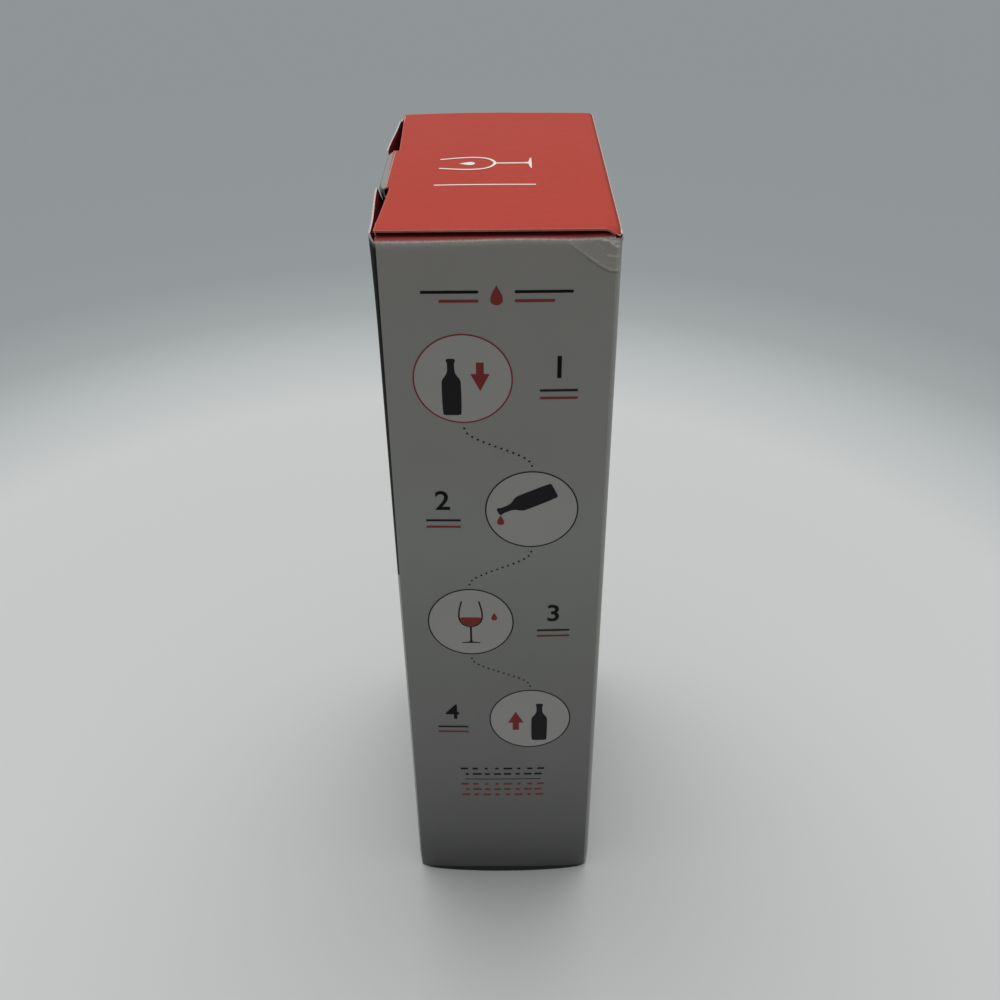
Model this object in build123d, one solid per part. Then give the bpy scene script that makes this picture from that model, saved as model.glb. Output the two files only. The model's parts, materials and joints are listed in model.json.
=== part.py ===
from build123d import *

import os

# A wine preservation dispenser, packed upright in its closed paperboard carton.
# Millimetres. The origin is the middle of the carton's base, +Z is up. The narrow printed side
# panel faces -Y, the lid's tuck edge is at -X and its hinge is at +X. A pair of numbers is the
# low and high end of a stretch along the axis in its name.

# ------------------------------------------------------------------ driving dimensions: carton
CARTON_WIDTH = 80.0
CARTON_DEPTH = 140.0
CARTON_HEIGHT = 318.0
BOARD = 0.6
BEAD = BOARD / 2  # a crease is a round bead as thick as the board

HALF_W = CARTON_WIDTH / 2
HALF_D = CARTON_DEPTH / 2
IN_X = HALF_W - BOARD
IN_Y = HALF_D - BOARD

GLUE_FLAP_Y = (52.0, IN_Y)
GLUE_FLAP_Z = (4.0, 312.0)
FLAP_PLAY = 0.2
BOTTOM_FLAP_LAP = 36.0  # how far past the middle a bottom flap reaches
BOTTOM_DUST_HALF = 38.0
BOTTOM_DUST_EDGE = 20.0  # from the middle to a bottom dust flap's free edge

LID_UNDER = CARTON_HEIGHT - BOARD
LID_HINGE_X = HALF_W - BEAD
LID_HINGE_Z = CARTON_HEIGHT - BEAD
LID_HALF_Y = HALF_D - 0.4
LID_EDGE_PLAY = 0.1

TUCK_CREASE_X = -38.7
TUCK_SLANT = 12.0
TUCK_LENGTH = 22.0
TUCK_ROOT_HALF = 67.0
TUCK_TIP_HALF = 61.0

DUST_TOP = LID_UNDER - 1.2
DUST_UNDER = DUST_TOP - BOARD
DUST_CREASE_Y = HALF_D - BEAD
DUST_LENGTH = 50.0
DUST_ROOT_X = (-36.4, 38.4)
DUST_TIP_X = (-31.5, 10.4)
DUST_CORNER = 8.0

SLIT_DEPTH = 1.6
SLITS_Y = ((-60.4, -25.0), (18.5, 59.0))
NOTCH_Y = (SLITS_Y[0][1], SLITS_Y[1][0])
NOTCH_DEPTH = 11.0

# ------------------------------------------------------------------ driving dimensions: insert
INSERT_BOARD = 1.2
FLOOR_TOP = 3 * BOARD
SHELF_TOP = 99.2
SHELF_UNDER = SHELF_TOP - INSERT_BOARD
SHELF_HALF_X = 37.2
DECK_TOP = 250.0
DECK_UNDER = DECK_TOP - INSERT_BOARD
DECK_HALF_Y = 69.0
CLAMP_WINDOW = ((-28, 28), (-43, 4))
RAIL_WINDOW = ((-14, 14), (3, 16))
LINK_WINDOW = ((-9, 9), (15, 25))
HANDLE_WINDOW = ((-16.5, 16.5), (23.5, 56.5))
RISER_X = (37.4, 38.6)
RISER_HALF_Y = 50.0
LEG_Y = (66.3, 67.5)
LEG_HALF_X = 36.0

CAPSULE_RADIUS = 10.8
CAPSULE_LENGTH = 84.0
CAPSULE_NECK = 3.7
CAPSULE_SHOULDER = 17.0  # below the top of the neck
CAPSULE_COLLAR = 8.0
CAPSULE_BASE_ROUND = 4.0
CAPSULE_PLAY = 0.4
SPARES_Y = (-38.0, 0.0, 38.0)
HOLDER_HALF_X = 17.0
HOLDER_HALF_Y = 56.0
HOLDER_TOP = 32.0
POCKET_FLOOR = 6.0
LEAFLET_X = (-36.8, -34.2)
LEAFLET_HALF_Y = 48.0
LEAFLET_TOP = 88.0

# -------------------------------------------------------------- driving dimensions: dispenser
RUNNING = 0.08  # radial clearance of a pin in its hole
SLIDE_GAP = 0.3

HEAD_BOTTOM = DECK_TOP
HEAD_TOP = 282.0
HEAD_HALF = 19.0
HEAD_FRONT = -46.0
HEAD_BACK = 55.5
WALL = 2.0
SCREW_PLACES = ((-38, 275), (10, 275), (18, 265), (42, 273))
SCREW_RADIUS = 1.2
SCREW_HEAD = 2.2

NEEDLE_Y = -20.0
NEEDLE_RADIUS = 0.75
NEEDLE_TIP = 150.0
STEM_Y = -4.0
STEM_RADIUS = 2.5
STEM_SHOULDER = 3.6
BLOCK_Y = (-28.0, 4.0)
BLOCK_Z = (255.0, 268.0)
SEAL_DEPTH = 1.6
SPOUT_TILT = 15.0
SPOUT_START = (-28.0, 262.5)
SPOUT_RADIUS = 4.0
SPOUT_STUB = 3.4
SPOUT_LENGTH = 27.0
TUBE_RADIUS = 1.6
TUBE_Z = 258.0
PORT = 0.9

HANDLE_Y = 40.0
HANDLE_SIDE = 31.0
HANDLE_ROUND = 9.0
NECK_BOTTOM = 214.0
REG_RADIUS = 13.2
REG_WAIST = 216.0
REG_TOP = 262.0
CHAMBER_RADIUS = 9.0
CHAMBER_Z = 243.0
PISTON_RISE = 4.5  # from the chamber's floor to the piston
BOSS_BOTTOM = 203.0
BOSS_RADIUS = 12.4
LOADED_NECK_TOP = 210.0
CUP_BOTTOM = 118.0
CUP_COLLAR = 207.0
CUP_TOP = NECK_BOTTOM - 0.3
CUP_CORE = 27.0
CUP_CORE_ROUND = 8.0
CUP_FLOOR = 124.0
CAP_BOTTOM = 112.0

LEVER_PIN_Y = 22.0
LEVER_PIN_Z = 289.0
LEVER_PIN_RADIUS = 1.5
LEVER_HALF = 7.4
LEVER_TOP = 300.2
EAR_X = (8, 11)
LEVER_SPRING_Y = -22.0

RAIL_Y = (-1.0, 9.0)
RAIL_HALF = 7.0
RAIL_BOTTOM = 108.0

CLAMP_BOTTOM = 112.0
CLAMP_TOP = 184.0
CLAMP_WAIST = 158.0
CLAMP_HALF = 19.0
CLAMP_NARROW = 13.0
THROAT_RADIUS = 16.0
THROAT_TOP = 150.0
GUIDE_RADIUS = 4.0
GUIDE_SEAT = 176.0
JAW_X = (19.8, 25.5)
JAW_Y = (-35.6, -4.4)
JAW_PIN_X = 22.0
JAW_PIN_Z = 160.0
JAW_PIN_RADIUS = 1.5
PAD_X = (14.9, 16.2)
JAW_SPRING_Z = 175.0


# --------------------------------------------------------------------------------- small tools
def block(x, y, z):
    """A box between two values on each axis."""
    size = [high - low for low, high in (x, y, z)]
    return Pos(sum(x) / 2, sum(y) / 2, sum(z) / 2) * Box(*size)


def both(half):
    """The stretch from -half to +half."""
    return (-half, half)


def post(radius, z, x=0.0, y=0.0):
    """A round bar standing along Z."""
    return Pos(x, y, sum(z) / 2) * Cylinder(radius, z[1] - z[0])


def tube(outer, inner, z, x=0.0, y=0.0):
    """A round tube standing along Z."""
    return post(outer, z, x, y) - post(inner, z, x, y)


def bar_x(radius, x, y, z):
    """A round bar lying along X."""
    return Pos(sum(x) / 2, y, z) * Rot(0, 90, 0) * Cylinder(radius, x[1] - x[0])


def bar_y(radius, x, y, z):
    """A round bar lying along Y."""
    return Pos(x, sum(y) / 2, z) * Rot(90, 0, 0) * Cylinder(radius, y[1] - y[0])


def side_profile(points, x):
    """An outline in Y and Z, carried along X."""
    return extrude(Plane.YZ.offset(x[0]) * Polygon(*points), x[1] - x[0], dir=(1, 0, 0))


def plan_profile(points, z):
    """An outline in X and Y, carried along Z."""
    return extrude(Pos(0, 0, z[0]) * Polygon(*points), z[1] - z[0], dir=(0, 0, 1))


def square_bar(side, corner, z):
    """A bar of rounded square section on the handle's axis."""
    section = Pos(0, HANDLE_Y, z[0]) * RectangleRounded(side, side, corner)
    return extrude(section, z[1] - z[0], dir=(0, 0, 1))


def hexagon(radius, z, y):
    """A hexagonal bar standing along Z."""
    return Pos(0, y, z[0]) * extrude(RegularPolygon(radius, 6), z[1] - z[0])


def coil(radius, wire, length, turns):
    """A compression spring along Z from 0, inside the given length and outer radius."""
    travel = length - 2 * wire
    path = Helix(pitch=travel / turns, height=travel, radius=radius - wire)
    section = Plane(origin=path @ 0, z_dir=path % 0) * Circle(wire)
    return Pos(0, 0, wire) * sweep(section, path=path)


def mirrored(shape):
    """The same piece on the other side of the middle plane."""
    return mirror(shape, about=Plane.YZ)


def side_rims(shape):
    """The edges round the two flat ends of a piece that was carried along X."""
    ends = shape.faces().sort_by(Axis.X)
    return ends[0].edges() + ends[-1].edges()


parts = {}


# ------------------------------------------------------------------------------- carton: walls
def make_walls():
    arch = (((NOTCH_Y[1] - NOTCH_Y[0]) / 2) ** 2 + NOTCH_DEPTH**2) / (2 * NOTCH_DEPTH)
    front = block((-HALF_W, -IN_X), both(HALF_D), (0, CARTON_HEIGHT))
    notch_z = CARTON_HEIGHT - NOTCH_DEPTH + arch
    parts["front_panel"] = front - bar_x(arch, (-HALF_W - 1, -IN_X + 1), sum(NOTCH_Y) / 2, notch_z)
    parts["back_panel"] = block((IN_X, HALF_W), both(HALF_D), (0, LID_UNDER))
    near = block(both(IN_X), (-HALF_D, -IN_Y), (0, DUST_UNDER))
    parts["side_panel_near"] = near
    parts["side_panel_far"] = mirror(near, about=Plane.XZ)
    parts["glue_flap"] = block((IN_X - BOARD, IN_X), GLUE_FLAP_Y, GLUE_FLAP_Z)


def make_bottom():
    outer, inner, dust = [(layer * BOARD, (layer + 1) * BOARD) for layer in range(3)]
    flap_y = both(IN_Y - FLAP_PLAY)
    parts["bottom_flap_outer"] = block((-IN_X, BOTTOM_FLAP_LAP), flap_y, outer)
    parts["bottom_flap_inner"] = block((-BOTTOM_FLAP_LAP, IN_X), flap_y, inner)
    near = block(both(BOTTOM_DUST_HALF), (-IN_Y, -BOTTOM_DUST_EDGE), dust)
    parts["bottom_dust_flap_near"] = near
    parts["bottom_dust_flap_far"] = mirror(near, about=Plane.XZ)


# ----------------------------------------------------------------------------- carton: closure
def make_lid():
    edge = TUCK_CREASE_X + BEAD + LID_EDGE_PLAY
    back = edge + SLIT_DEPTH
    outline = [(LID_HINGE_X, -LID_HALF_Y), (LID_HINGE_X, LID_HALF_Y), (edge, LID_HALF_Y)]
    for low, high in reversed(SLITS_Y):
        # a slit is set back from the edge, with a 45 degree end away from the thumb notch
        near_end = low - SLIT_DEPTH if low < 0 else low
        far_end = high + SLIT_DEPTH if low > 0 else high
        outline += [(edge, far_end), (back, high), (back, low), (edge, near_end)]
    outline.append((edge, -LID_HALF_Y))
    plate = plan_profile(outline, (LID_UNDER, CARTON_HEIGHT))
    parts["lid_panel"] = plate + bar_y(BEAD, LID_HINGE_X, both(LID_HALF_Y), LID_HINGE_Z)


def make_tuck_flap():
    root, tip = TUCK_ROOT_HALF, TUCK_TIP_HALF
    taper = [(-root, 0), (-tip, -TUCK_LENGTH), (tip, -TUCK_LENGTH), (root, 0)]
    flap = side_profile(taper, both(BEAD)) + bar_y(BEAD, 0, both(root), 0)
    parts["tuck_flap"] = Pos(TUCK_CREASE_X, 0, LID_HINGE_Z) * Rot(0, -TUCK_SLANT, 0) * flap


def make_dust_flaps():
    root = -DUST_CREASE_Y
    tip = root + DUST_LENGTH
    outline = [(DUST_ROOT_X[0], root), (DUST_ROOT_X[1], root), (DUST_TIP_X[1], tip), (DUST_TIP_X[0], tip)]
    plate = plan_profile(outline, (DUST_UNDER, DUST_TOP))
    corners = plate.edges().filter_by(Axis.Z).sort_by(Axis.Y)[-2:]
    flap = fillet(corners, DUST_CORNER) + bar_x(BEAD, DUST_ROOT_X, root, DUST_UNDER + BEAD)
    parts["dust_flap_near"] = flap
    parts["dust_flap_far"] = mirror(flap, about=Plane.XZ)


# -------------------------------------------------------------------------------------- insert
def make_insert():
    deck = block(both(RISER_X[1]), both(DECK_HALF_Y), (DECK_UNDER, DECK_TOP))
    for window in (CLAMP_WINDOW, RAIL_WINDOW, LINK_WINDOW, HANDLE_WINDOW):
        deck -= block(*window, (DECK_UNDER - 1, DECK_TOP + 1))
    parts["insert_deck"] = deck
    riser = block(RISER_X, both(RISER_HALF_Y), (FLOOR_TOP, DECK_UNDER))
    parts["insert_riser_right"] = riser
    parts["insert_riser_left"] = mirrored(riser)
    parts["lower_shelf"] = block(both(SHELF_HALF_X), both(LEG_Y[1]), (SHELF_UNDER, SHELF_TOP))
    leg = block(both(LEG_HALF_X), LEG_Y, (FLOOR_TOP, SHELF_UNDER))
    parts["shelf_leg_far"] = leg
    parts["shelf_leg_near"] = mirror(leg, about=Plane.XZ)


def make_capsule(neck_top, y):
    """A gas capsule standing neck up: a drawn steel bottle with a sloping shoulder."""
    base = neck_top - CAPSULE_LENGTH
    shoulder = neck_top - CAPSULE_SHOULDER
    collar = neck_top - CAPSULE_COLLAR
    body = post(CAPSULE_RADIUS, (base, shoulder), 0, y)
    body = fillet(body.edges().sort_by(Axis.Z)[:1], CAPSULE_BASE_ROUND)
    slope = Cone(CAPSULE_RADIUS, CAPSULE_NECK, collar - shoulder)
    return body + Pos(0, y, (shoulder + collar) / 2) * slope + post(CAPSULE_NECK, (collar, neck_top), 0, y)


def make_accessories():
    holder = block(both(HOLDER_HALF_X), both(HOLDER_HALF_Y), (FLOOR_TOP, HOLDER_TOP))
    for number, y in enumerate(SPARES_Y, 1):
        holder -= post(CAPSULE_RADIUS + CAPSULE_PLAY, (POCKET_FLOOR, HOLDER_TOP + 1), 0, y)
        parts[f"spare_capsule_{number}"] = make_capsule(POCKET_FLOOR + CAPSULE_LENGTH, y)
    parts["capsule_holder"] = holder
    leaflet = block(LEAFLET_X, both(LEAFLET_HALF_Y), (FLOOR_TOP, LEAFLET_TOP))
    fold = leaflet.edges().filter_by(Axis.Z).group_by(Axis.Y)[0]
    parts["user_leaflet"] = fillet(fold, 1.2)


# --------------------------------------------------------------------------- dispenser: shells
def head_outline(inset):
    """The head's side outline, set in by a wall's thickness."""
    low, high = HEAD_BOTTOM + inset, HEAD_TOP - inset
    front, back = HEAD_FRONT + inset, HEAD_BACK - inset
    ease = inset / 2
    chin_y, chin_z = 8 - ease, 13 - ease
    brow_y, brow_z = 4 - ease, 5 - ease
    rear_y, rear_z = 13 - ease, 16 - ease
    return [
        (front + chin_y, low),
        (back, low),
        (back, high - rear_z),
        (back - rear_y, high),
        (front + brow_y, high),
        (front, high - brow_z),
        (front, low + chin_z),
    ]


def along_spout(radius, start, end):
    """A round bar on the spout's sloping axis, between two distances from the valve block."""
    place = Pos(0, *SPOUT_START) * Rot(90 + SPOUT_TILT, 0, 0)
    return place * Pos(0, 0, (start + end) / 2) * Cylinder(radius, end - start)


def make_pin_ears():
    """The two lugs on the head that carry the lever's pin, each a triangle with a round top."""
    foot = 6.0
    triangle = [
        (LEVER_PIN_Y - foot, HEAD_TOP - 1),
        (LEVER_PIN_Y + foot, HEAD_TOP - 1),
        (LEVER_PIN_Y, LEVER_PIN_Z),
    ]
    ear = side_profile(triangle, EAR_X) + bar_x(4, EAR_X, LEVER_PIN_Y, LEVER_PIN_Z)
    return ear + mirrored(ear)


def make_shells():
    head = side_profile(head_outline(0), both(HEAD_HALF))
    head = fillet(side_rims(head), 3.0)
    neck_z = (NECK_BOTTOM, HEAD_BOTTOM + 4)
    hollow = side_profile(head_outline(WALL), both(HEAD_HALF - WALL))
    hollow += Pos(0, 0, -1) * square_bar(HANDLE_SIDE - 2 * WALL, HANDLE_ROUND - WALL, neck_z)
    shell = head + square_bar(HANDLE_SIDE, HANDLE_ROUND, neck_z) - hollow + make_pin_ears()
    for y, z in SCREW_PLACES:
        shell += bar_x(3, both(HEAD_HALF - 1), y, z) & head
    shell -= bar_x(LEVER_PIN_RADIUS + RUNNING, both(EAR_X[1] + 1), LEVER_PIN_Y, LEVER_PIN_Z)
    floor = (HEAD_BOTTOM - 1, HEAD_BOTTOM + WALL + 1)
    shell -= post(5.3, floor, 0, NEEDLE_Y)
    rail_slot_y = (RAIL_Y[0] - 0.1, RAIL_Y[1] + 0.1)
    shell -= block(both(RAIL_HALF + 0.1), rail_slot_y, (floor[0], HEAD_BOTTOM + WALL))
    shell -= post(STEM_RADIUS + 0.2, (HEAD_TOP - WALL - 1, HEAD_TOP + 1), 0, STEM_Y)
    shell -= along_spout(SPOUT_RADIUS + 0.1, 0, SPOUT_LENGTH + 13)
    for y, z in SCREW_PLACES:
        # the head of each screw is sunk in the right shell, its thread is in the left one
        shell -= bar_x(SCREW_RADIUS + RUNNING, (-10, HEAD_HALF), y, z)
        shell -= bar_x(SCREW_HEAD + 0.1, (HEAD_HALF - 3, HEAD_HALF + 1), y, z)
    half_y, half_z = (-60, 70), (200, 300)
    parts["head_shell_left"] = shell & block((-30, 0), half_y, half_z)
    parts["head_shell_right"] = shell & block((0, 30), half_y, half_z)


def make_shell_screws():
    screws = []
    for y, z in SCREW_PLACES:
        screw = bar_x(SCREW_RADIUS, (-9, HEAD_HALF - 3), y, z)
        screw += bar_x(SCREW_HEAD, (HEAD_HALF - 3, HEAD_HALF - 1), y, z)
        socket = Pos(HEAD_HALF - 1.8, y, z) * Rot(0, 90, 0) * extrude(RegularPolygon(1.1, 6), 1)
        screws.append(screw - socket)
    parts["shell_screws"] = Compound(children=screws)


# ------------------------------------------------------------------- dispenser: valve and flow
def make_valve():
    low, top = BLOCK_Z
    hub_hole_top = 261.0
    valve = block(both(8), BLOCK_Y, BLOCK_Z)
    valve -= post(STEM_RADIUS + RUNNING, (low + 3, top + 1), 0, STEM_Y)
    valve -= post(STEM_SHOULDER + 0.05, (top - SEAL_DEPTH, top + 1), 0, STEM_Y)  # seat of the seal
    valve -= post(3.1, (low - 1, hub_hole_top), 0, NEEDLE_Y)
    valve -= bar_y(PORT, 0, (NEEDLE_Y, STEM_Y), hub_hole_top - 1.5)
    valve -= along_spout(SPOUT_STUB + RUNNING, -4, 3)
    valve -= along_spout(1.0, -8, 3)
    valve -= bar_y(TUBE_RADIUS + 0.05, 0, (BLOCK_Y[1] - 3, BLOCK_Y[1] + 1), TUBE_Z)
    valve -= bar_y(PORT, 0, (STEM_Y, BLOCK_Y[1] - 2), TUBE_Z)
    parts["valve_block"] = valve

    stem_end = 287.0
    stem = post(STEM_RADIUS, (261.5, stem_end), 0, STEM_Y) + post(STEM_SHOULDER, (276.5, 278), 0, STEM_Y)
    dome = Pos(0, STEM_Y, stem_end - 4.4) * Sphere(6.0)
    parts["valve_stem"] = stem + (dome & post(STEM_RADIUS, (stem_end - 0.1, stem_end + 3), 0, STEM_Y))
    seal_z = (top - SEAL_DEPTH, top - 0.1)
    parts["stem_seal"] = tube(STEM_SHOULDER, STEM_RADIUS + RUNNING, seal_z, 0, STEM_Y)
    parts["valve_spring"] = Pos(0, STEM_Y, top) * coil(3.9, 0.35, 8.4, 5)

    stub = along_spout(SPOUT_STUB, -3.5, 1.5)
    nose = along_spout(SPOUT_RADIUS, 1.2, SPOUT_LENGTH)
    parts["spout"] = stub + nose - along_spout(2.2, -4, SPOUT_LENGTH + 1)


def make_needle():
    neck = 3.05
    flange_top = BLOCK_Z[0]
    hub = post(neck, (flange_top - 0.1, flange_top + 5.8), 0, NEEDLE_Y)
    hub += post(5.0, (HEAD_BOTTOM, flange_top), 0, NEEDLE_Y)
    hub += hexagon(4.5, (244, HEAD_BOTTOM + 0.5), NEEDLE_Y)
    parts["needle_hub"] = hub - post(0.8, (240, 262), 0, NEEDLE_Y)
    needle = tube(NEEDLE_RADIUS, 0.4, (NEEDLE_TIP, 260), 0, NEEDLE_Y)
    bevel = Pos(-1.4, NEEDLE_Y, NEEDLE_TIP - 1.8) * Rot(0, 65, 0) * Box(6, 6, 6)
    parts["needle"] = needle - bevel


def make_regulator():
    bore_top = 212.0  # the seat that the capsule's neck is screwed up to
    body = post(BOSS_RADIUS, (BOSS_BOTTOM, REG_WAIST), 0, HANDLE_Y)
    body += post(REG_RADIUS, (REG_WAIST, REG_TOP), 0, HANDLE_Y)
    body -= post(4.5, (BOSS_BOTTOM - 1, bore_top), 0, HANDLE_Y)
    body -= post(1.5, (bore_top - 1, CHAMBER_Z + 1), 0, HANDLE_Y)
    body -= post(CHAMBER_RADIUS, (CHAMBER_Z, REG_TOP + 1), 0, HANDLE_Y)
    front = HANDLE_Y - REG_RADIUS
    port_z = CHAMBER_Z + 1.5
    body -= bar_y(TUBE_RADIUS + 0.05, 0, (front - 1, front + 2.5), TUBE_Z)
    body -= post(0.6, (port_z, TUBE_Z), 0, front + 2)
    body -= bar_y(0.6, 0, (front + 2, front + 5), port_z)
    parts["regulator_body"] = body
    gas_tube = bar_y(TUBE_RADIUS, 0, (BLOCK_Y[1] - 3, front + 2.4), TUBE_Z)
    parts["gas_tube"] = gas_tube - bar_y(TUBE_RADIUS / 2, 0, (0, HANDLE_Y), TUBE_Z)

    pin_foot = bore_top + 1
    pin = post(1.45, (pin_foot, pin_foot + 13), 0, HANDLE_Y)
    pin += post(0.7, (pin_foot - 4.4, pin_foot), 0, HANDLE_Y)
    parts["piercing_pin"] = pin + Pos(0, HANDLE_Y, pin_foot - 5) * Cone(0.1, 0.7, 1.2)
    parts["capsule_seal"] = tube(4.4, 1.0, (LOADED_NECK_TOP + 0.3, bore_top), 0, HANDLE_Y)

    under = CHAMBER_Z + PISTON_RISE
    dish = under + 3
    piston = post(CHAMBER_RADIUS - 0.1, (under, under + 4), 0, HANDLE_Y)
    piston += post(1.2, (under - 2.5, under), 0, HANDLE_Y)
    parts["regulator_piston"] = piston - post(6.0, (dish, under + 5), 0, HANDLE_Y)
    cap_under = REG_TOP - 3
    spring = coil(5.6, 0.6, cap_under - dish, 4)
    parts["regulator_spring"] = Pos(0, HANDLE_Y, dish) * spring
    cap = post(CHAMBER_RADIUS - 0.1, (cap_under, REG_TOP + 1), 0, HANDLE_Y)
    cap += post(10.5, (REG_TOP, REG_TOP + 3.5), 0, HANDLE_Y)
    parts["regulator_cap"] = cap - hexagon(3.5, (REG_TOP + 1.5, REG_TOP + 4.5), HANDLE_Y)


# ----------------------------------------------------------------------------- dispenser: lever
def make_lever():
    outline = [
        (38, 285.2),
        (26, 299),
        (13, 296.5),
        (STEM_Y, LEVER_TOP - 0.8),
        (-32, LEVER_TOP),
        (-35.5, LEVER_TOP - 1.6),
        (-33, LEVER_TOP - 3.2),
        (-9, 295.4),
        (-8, LEVER_PIN_Z),
        (0, LEVER_PIN_Z),
        (10, 289.5),
        (18, 285.4),
        (28, 284.3),
    ]
    lever = side_profile(outline, both(LEVER_HALF))
    upper_edges = lever.edges().filter_by(Axis.X).sort_by(Axis.Z)[-5:]
    lever = fillet(upper_edges, 0.8)
    thumb_rest = block(both(LEVER_HALF + 2.1), (-34, -12), (LEVER_TOP - 3.4, LEVER_TOP - 1.2))
    lever += fillet(thumb_rest.edges().filter_by(Axis.Z), 3.0)
    for ridge in range(5):
        lever -= bar_x(0.5, both(10), -30 + 4 * ridge, LEVER_TOP - 0.03 * ridge)
    pin_hole = bar_x(LEVER_PIN_RADIUS + RUNNING, both(LEVER_HALF + 1), LEVER_PIN_Y, LEVER_PIN_Z)
    parts["lever"] = lever - pin_hole
    parts["lever_pin"] = bar_x(LEVER_PIN_RADIUS, both(EAR_X[1] + 0.4), LEVER_PIN_Y, LEVER_PIN_Z)
    parts["lever_spring"] = Pos(0, LEVER_SPRING_Y, HEAD_TOP) * coil(3.2, 0.4, 14.0, 6)


# ---------------------------------------------------------------------------- dispenser: handle
def make_handle():
    cup = square_bar(CUP_CORE, CUP_CORE_ROUND, (CUP_BOTTOM, CUP_COLLAR))
    cup += square_bar(HANDLE_SIDE, HANDLE_ROUND, (CUP_COLLAR, CUP_TOP))
    cup -= post(CAPSULE_RADIUS + CAPSULE_PLAY, (CUP_FLOOR, CUP_TOP + 1), 0, HANDLE_Y)
    cup -= post(BOSS_RADIUS + 0.1, (BOSS_BOTTOM - 5.4, CUP_TOP + 1), 0, HANDLE_Y)
    parts["capsule_cup"] = cup

    core_hole = (CUP_CORE + 0.1, CUP_CORE_ROUND + 0.05)
    sleeve = square_bar(HANDLE_SIDE, HANDLE_ROUND, (CUP_FLOOR, CUP_COLLAR - 0.1))
    sleeve -= square_bar(*core_hole, (CUP_FLOOR - 1, CUP_COLLAR + 1))
    grip_panel = block((HANDLE_SIDE / 2 - 0.5, HANDLE_SIDE / 2 + 1), both(6), (134, 196))
    for turn in range(0, 360, 90):
        sleeve -= Pos(0, HANDLE_Y, 0) * Rot(0, 0, turn) * grip_panel
    parts["grip_sleeve"] = sleeve
    cap = square_bar(HANDLE_SIDE, HANDLE_ROUND, (CAP_BOTTOM, CUP_FLOOR - 0.1))
    cap = fillet(cap.faces().sort_by(Axis.Z)[0].edges(), 3.0)
    parts["cup_end_cap"] = cap - square_bar(*core_hole, (CUP_BOTTOM, CUP_FLOOR + 6))
    pierced = post(0.95, (LOADED_NECK_TOP - 6, LOADED_NECK_TOP + 1), 0, HANDLE_Y)
    parts["gas_capsule"] = make_capsule(LOADED_NECK_TOP, HANDLE_Y) - pierced


# ------------------------------------------------------------------------ dispenser: rail, clamp
def make_rail():
    rail = block(both(RAIL_HALF), RAIL_Y, (RAIL_BOTTOM, HEAD_BOTTOM + 2.5))
    groove = block((RAIL_HALF - 1.5, RAIL_HALF + 1), (2.5, 5.5), (RAIL_BOTTOM, HEAD_BOTTOM - 6))
    rail -= groove + mirrored(groove)
    flange = block(both(10), (-3, 12), (HEAD_BOTTOM + WALL, HEAD_BOTTOM + WALL + 2.5))
    parts["guide_rail"] = rail + flange
    stop = block(both(9), (-3, 11), (RAIL_BOTTOM - 3, RAIL_BOTTOM + 3.7))
    stop = fillet(stop.edges().filter_by(Axis.Z), 2.0)
    socket_y = (RAIL_Y[0] - 0.02, RAIL_Y[1] + 0.02)
    parts["rail_end_stop"] = stop - block(both(RAIL_HALF + 0.02), socket_y, (RAIL_BOTTOM, RAIL_BOTTOM + 5))


def make_clamp_body():
    front, back = -40, 14
    bevel = 7
    outline = [
        (front, CLAMP_BOTTOM + bevel),
        (front + 6, CLAMP_BOTTOM),
        (back - 6, CLAMP_BOTTOM),
        (back, CLAMP_BOTTOM + bevel),
        (back, CLAMP_TOP - bevel - 1),
        (back - bevel, CLAMP_TOP),
        (front + 9, CLAMP_TOP),
        (front, CLAMP_TOP - 11),
    ]
    body = side_profile(outline, both(CLAMP_HALF))
    body = fillet(side_rims(body), 2.0)
    beside_waist = block((CLAMP_NARROW, 30), (-50, 20), (CLAMP_WAIST, CLAMP_TOP + 1))
    body -= beside_waist + mirrored(beside_waist)
    for ear_y in ((front, -36.4), (-3.6, 0)):
        ear = block((CLAMP_NARROW - 1, JAW_PIN_X + 3), ear_y, (CLAMP_WAIST - 4, 166))
        body += ear + mirrored(ear)
    pad_window = block((10, CLAMP_HALF + 1), (-31, -9), (120, 143))
    pin_hole = bar_y(JAW_PIN_RADIUS + RUNNING, JAW_PIN_X, (front - 2, 2), JAW_PIN_Z)
    for cut in (pad_window, pin_hole):
        body -= cut + mirrored(cut)
    body -= post(THROAT_RADIUS, (CLAMP_BOTTOM - 1, THROAT_TOP), 0, NEEDLE_Y)
    body -= Pos(0, NEEDLE_Y, CLAMP_BOTTOM + 0.5) * Cone(THROAT_RADIUS + 2, THROAT_RADIUS, 2)
    body -= post(2 * NEEDLE_RADIUS, (THROAT_TOP - 1, CLAMP_TOP), 0, NEEDLE_Y)
    body -= post(GUIDE_RADIUS + RUNNING, (GUIDE_SEAT, CLAMP_TOP + 1), 0, NEEDLE_Y)
    slot_y = (RAIL_Y[0] - SLIDE_GAP, RAIL_Y[1] + SLIDE_GAP)
    body -= block(both(RAIL_HALF + SLIDE_GAP), slot_y, (CLAMP_BOTTOM - 2, CLAMP_TOP + 2))
    parts["clamp_body"] = body
    guide = tube(GUIDE_RADIUS, 1.0, (GUIDE_SEAT, CLAMP_TOP), 0, NEEDLE_Y)
    collar = tube(GUIDE_RADIUS + 1.5, 1.0, (CLAMP_TOP, CLAMP_TOP + 1.2), 0, NEEDLE_Y)
    parts["needle_guide"] = guide + collar


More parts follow.
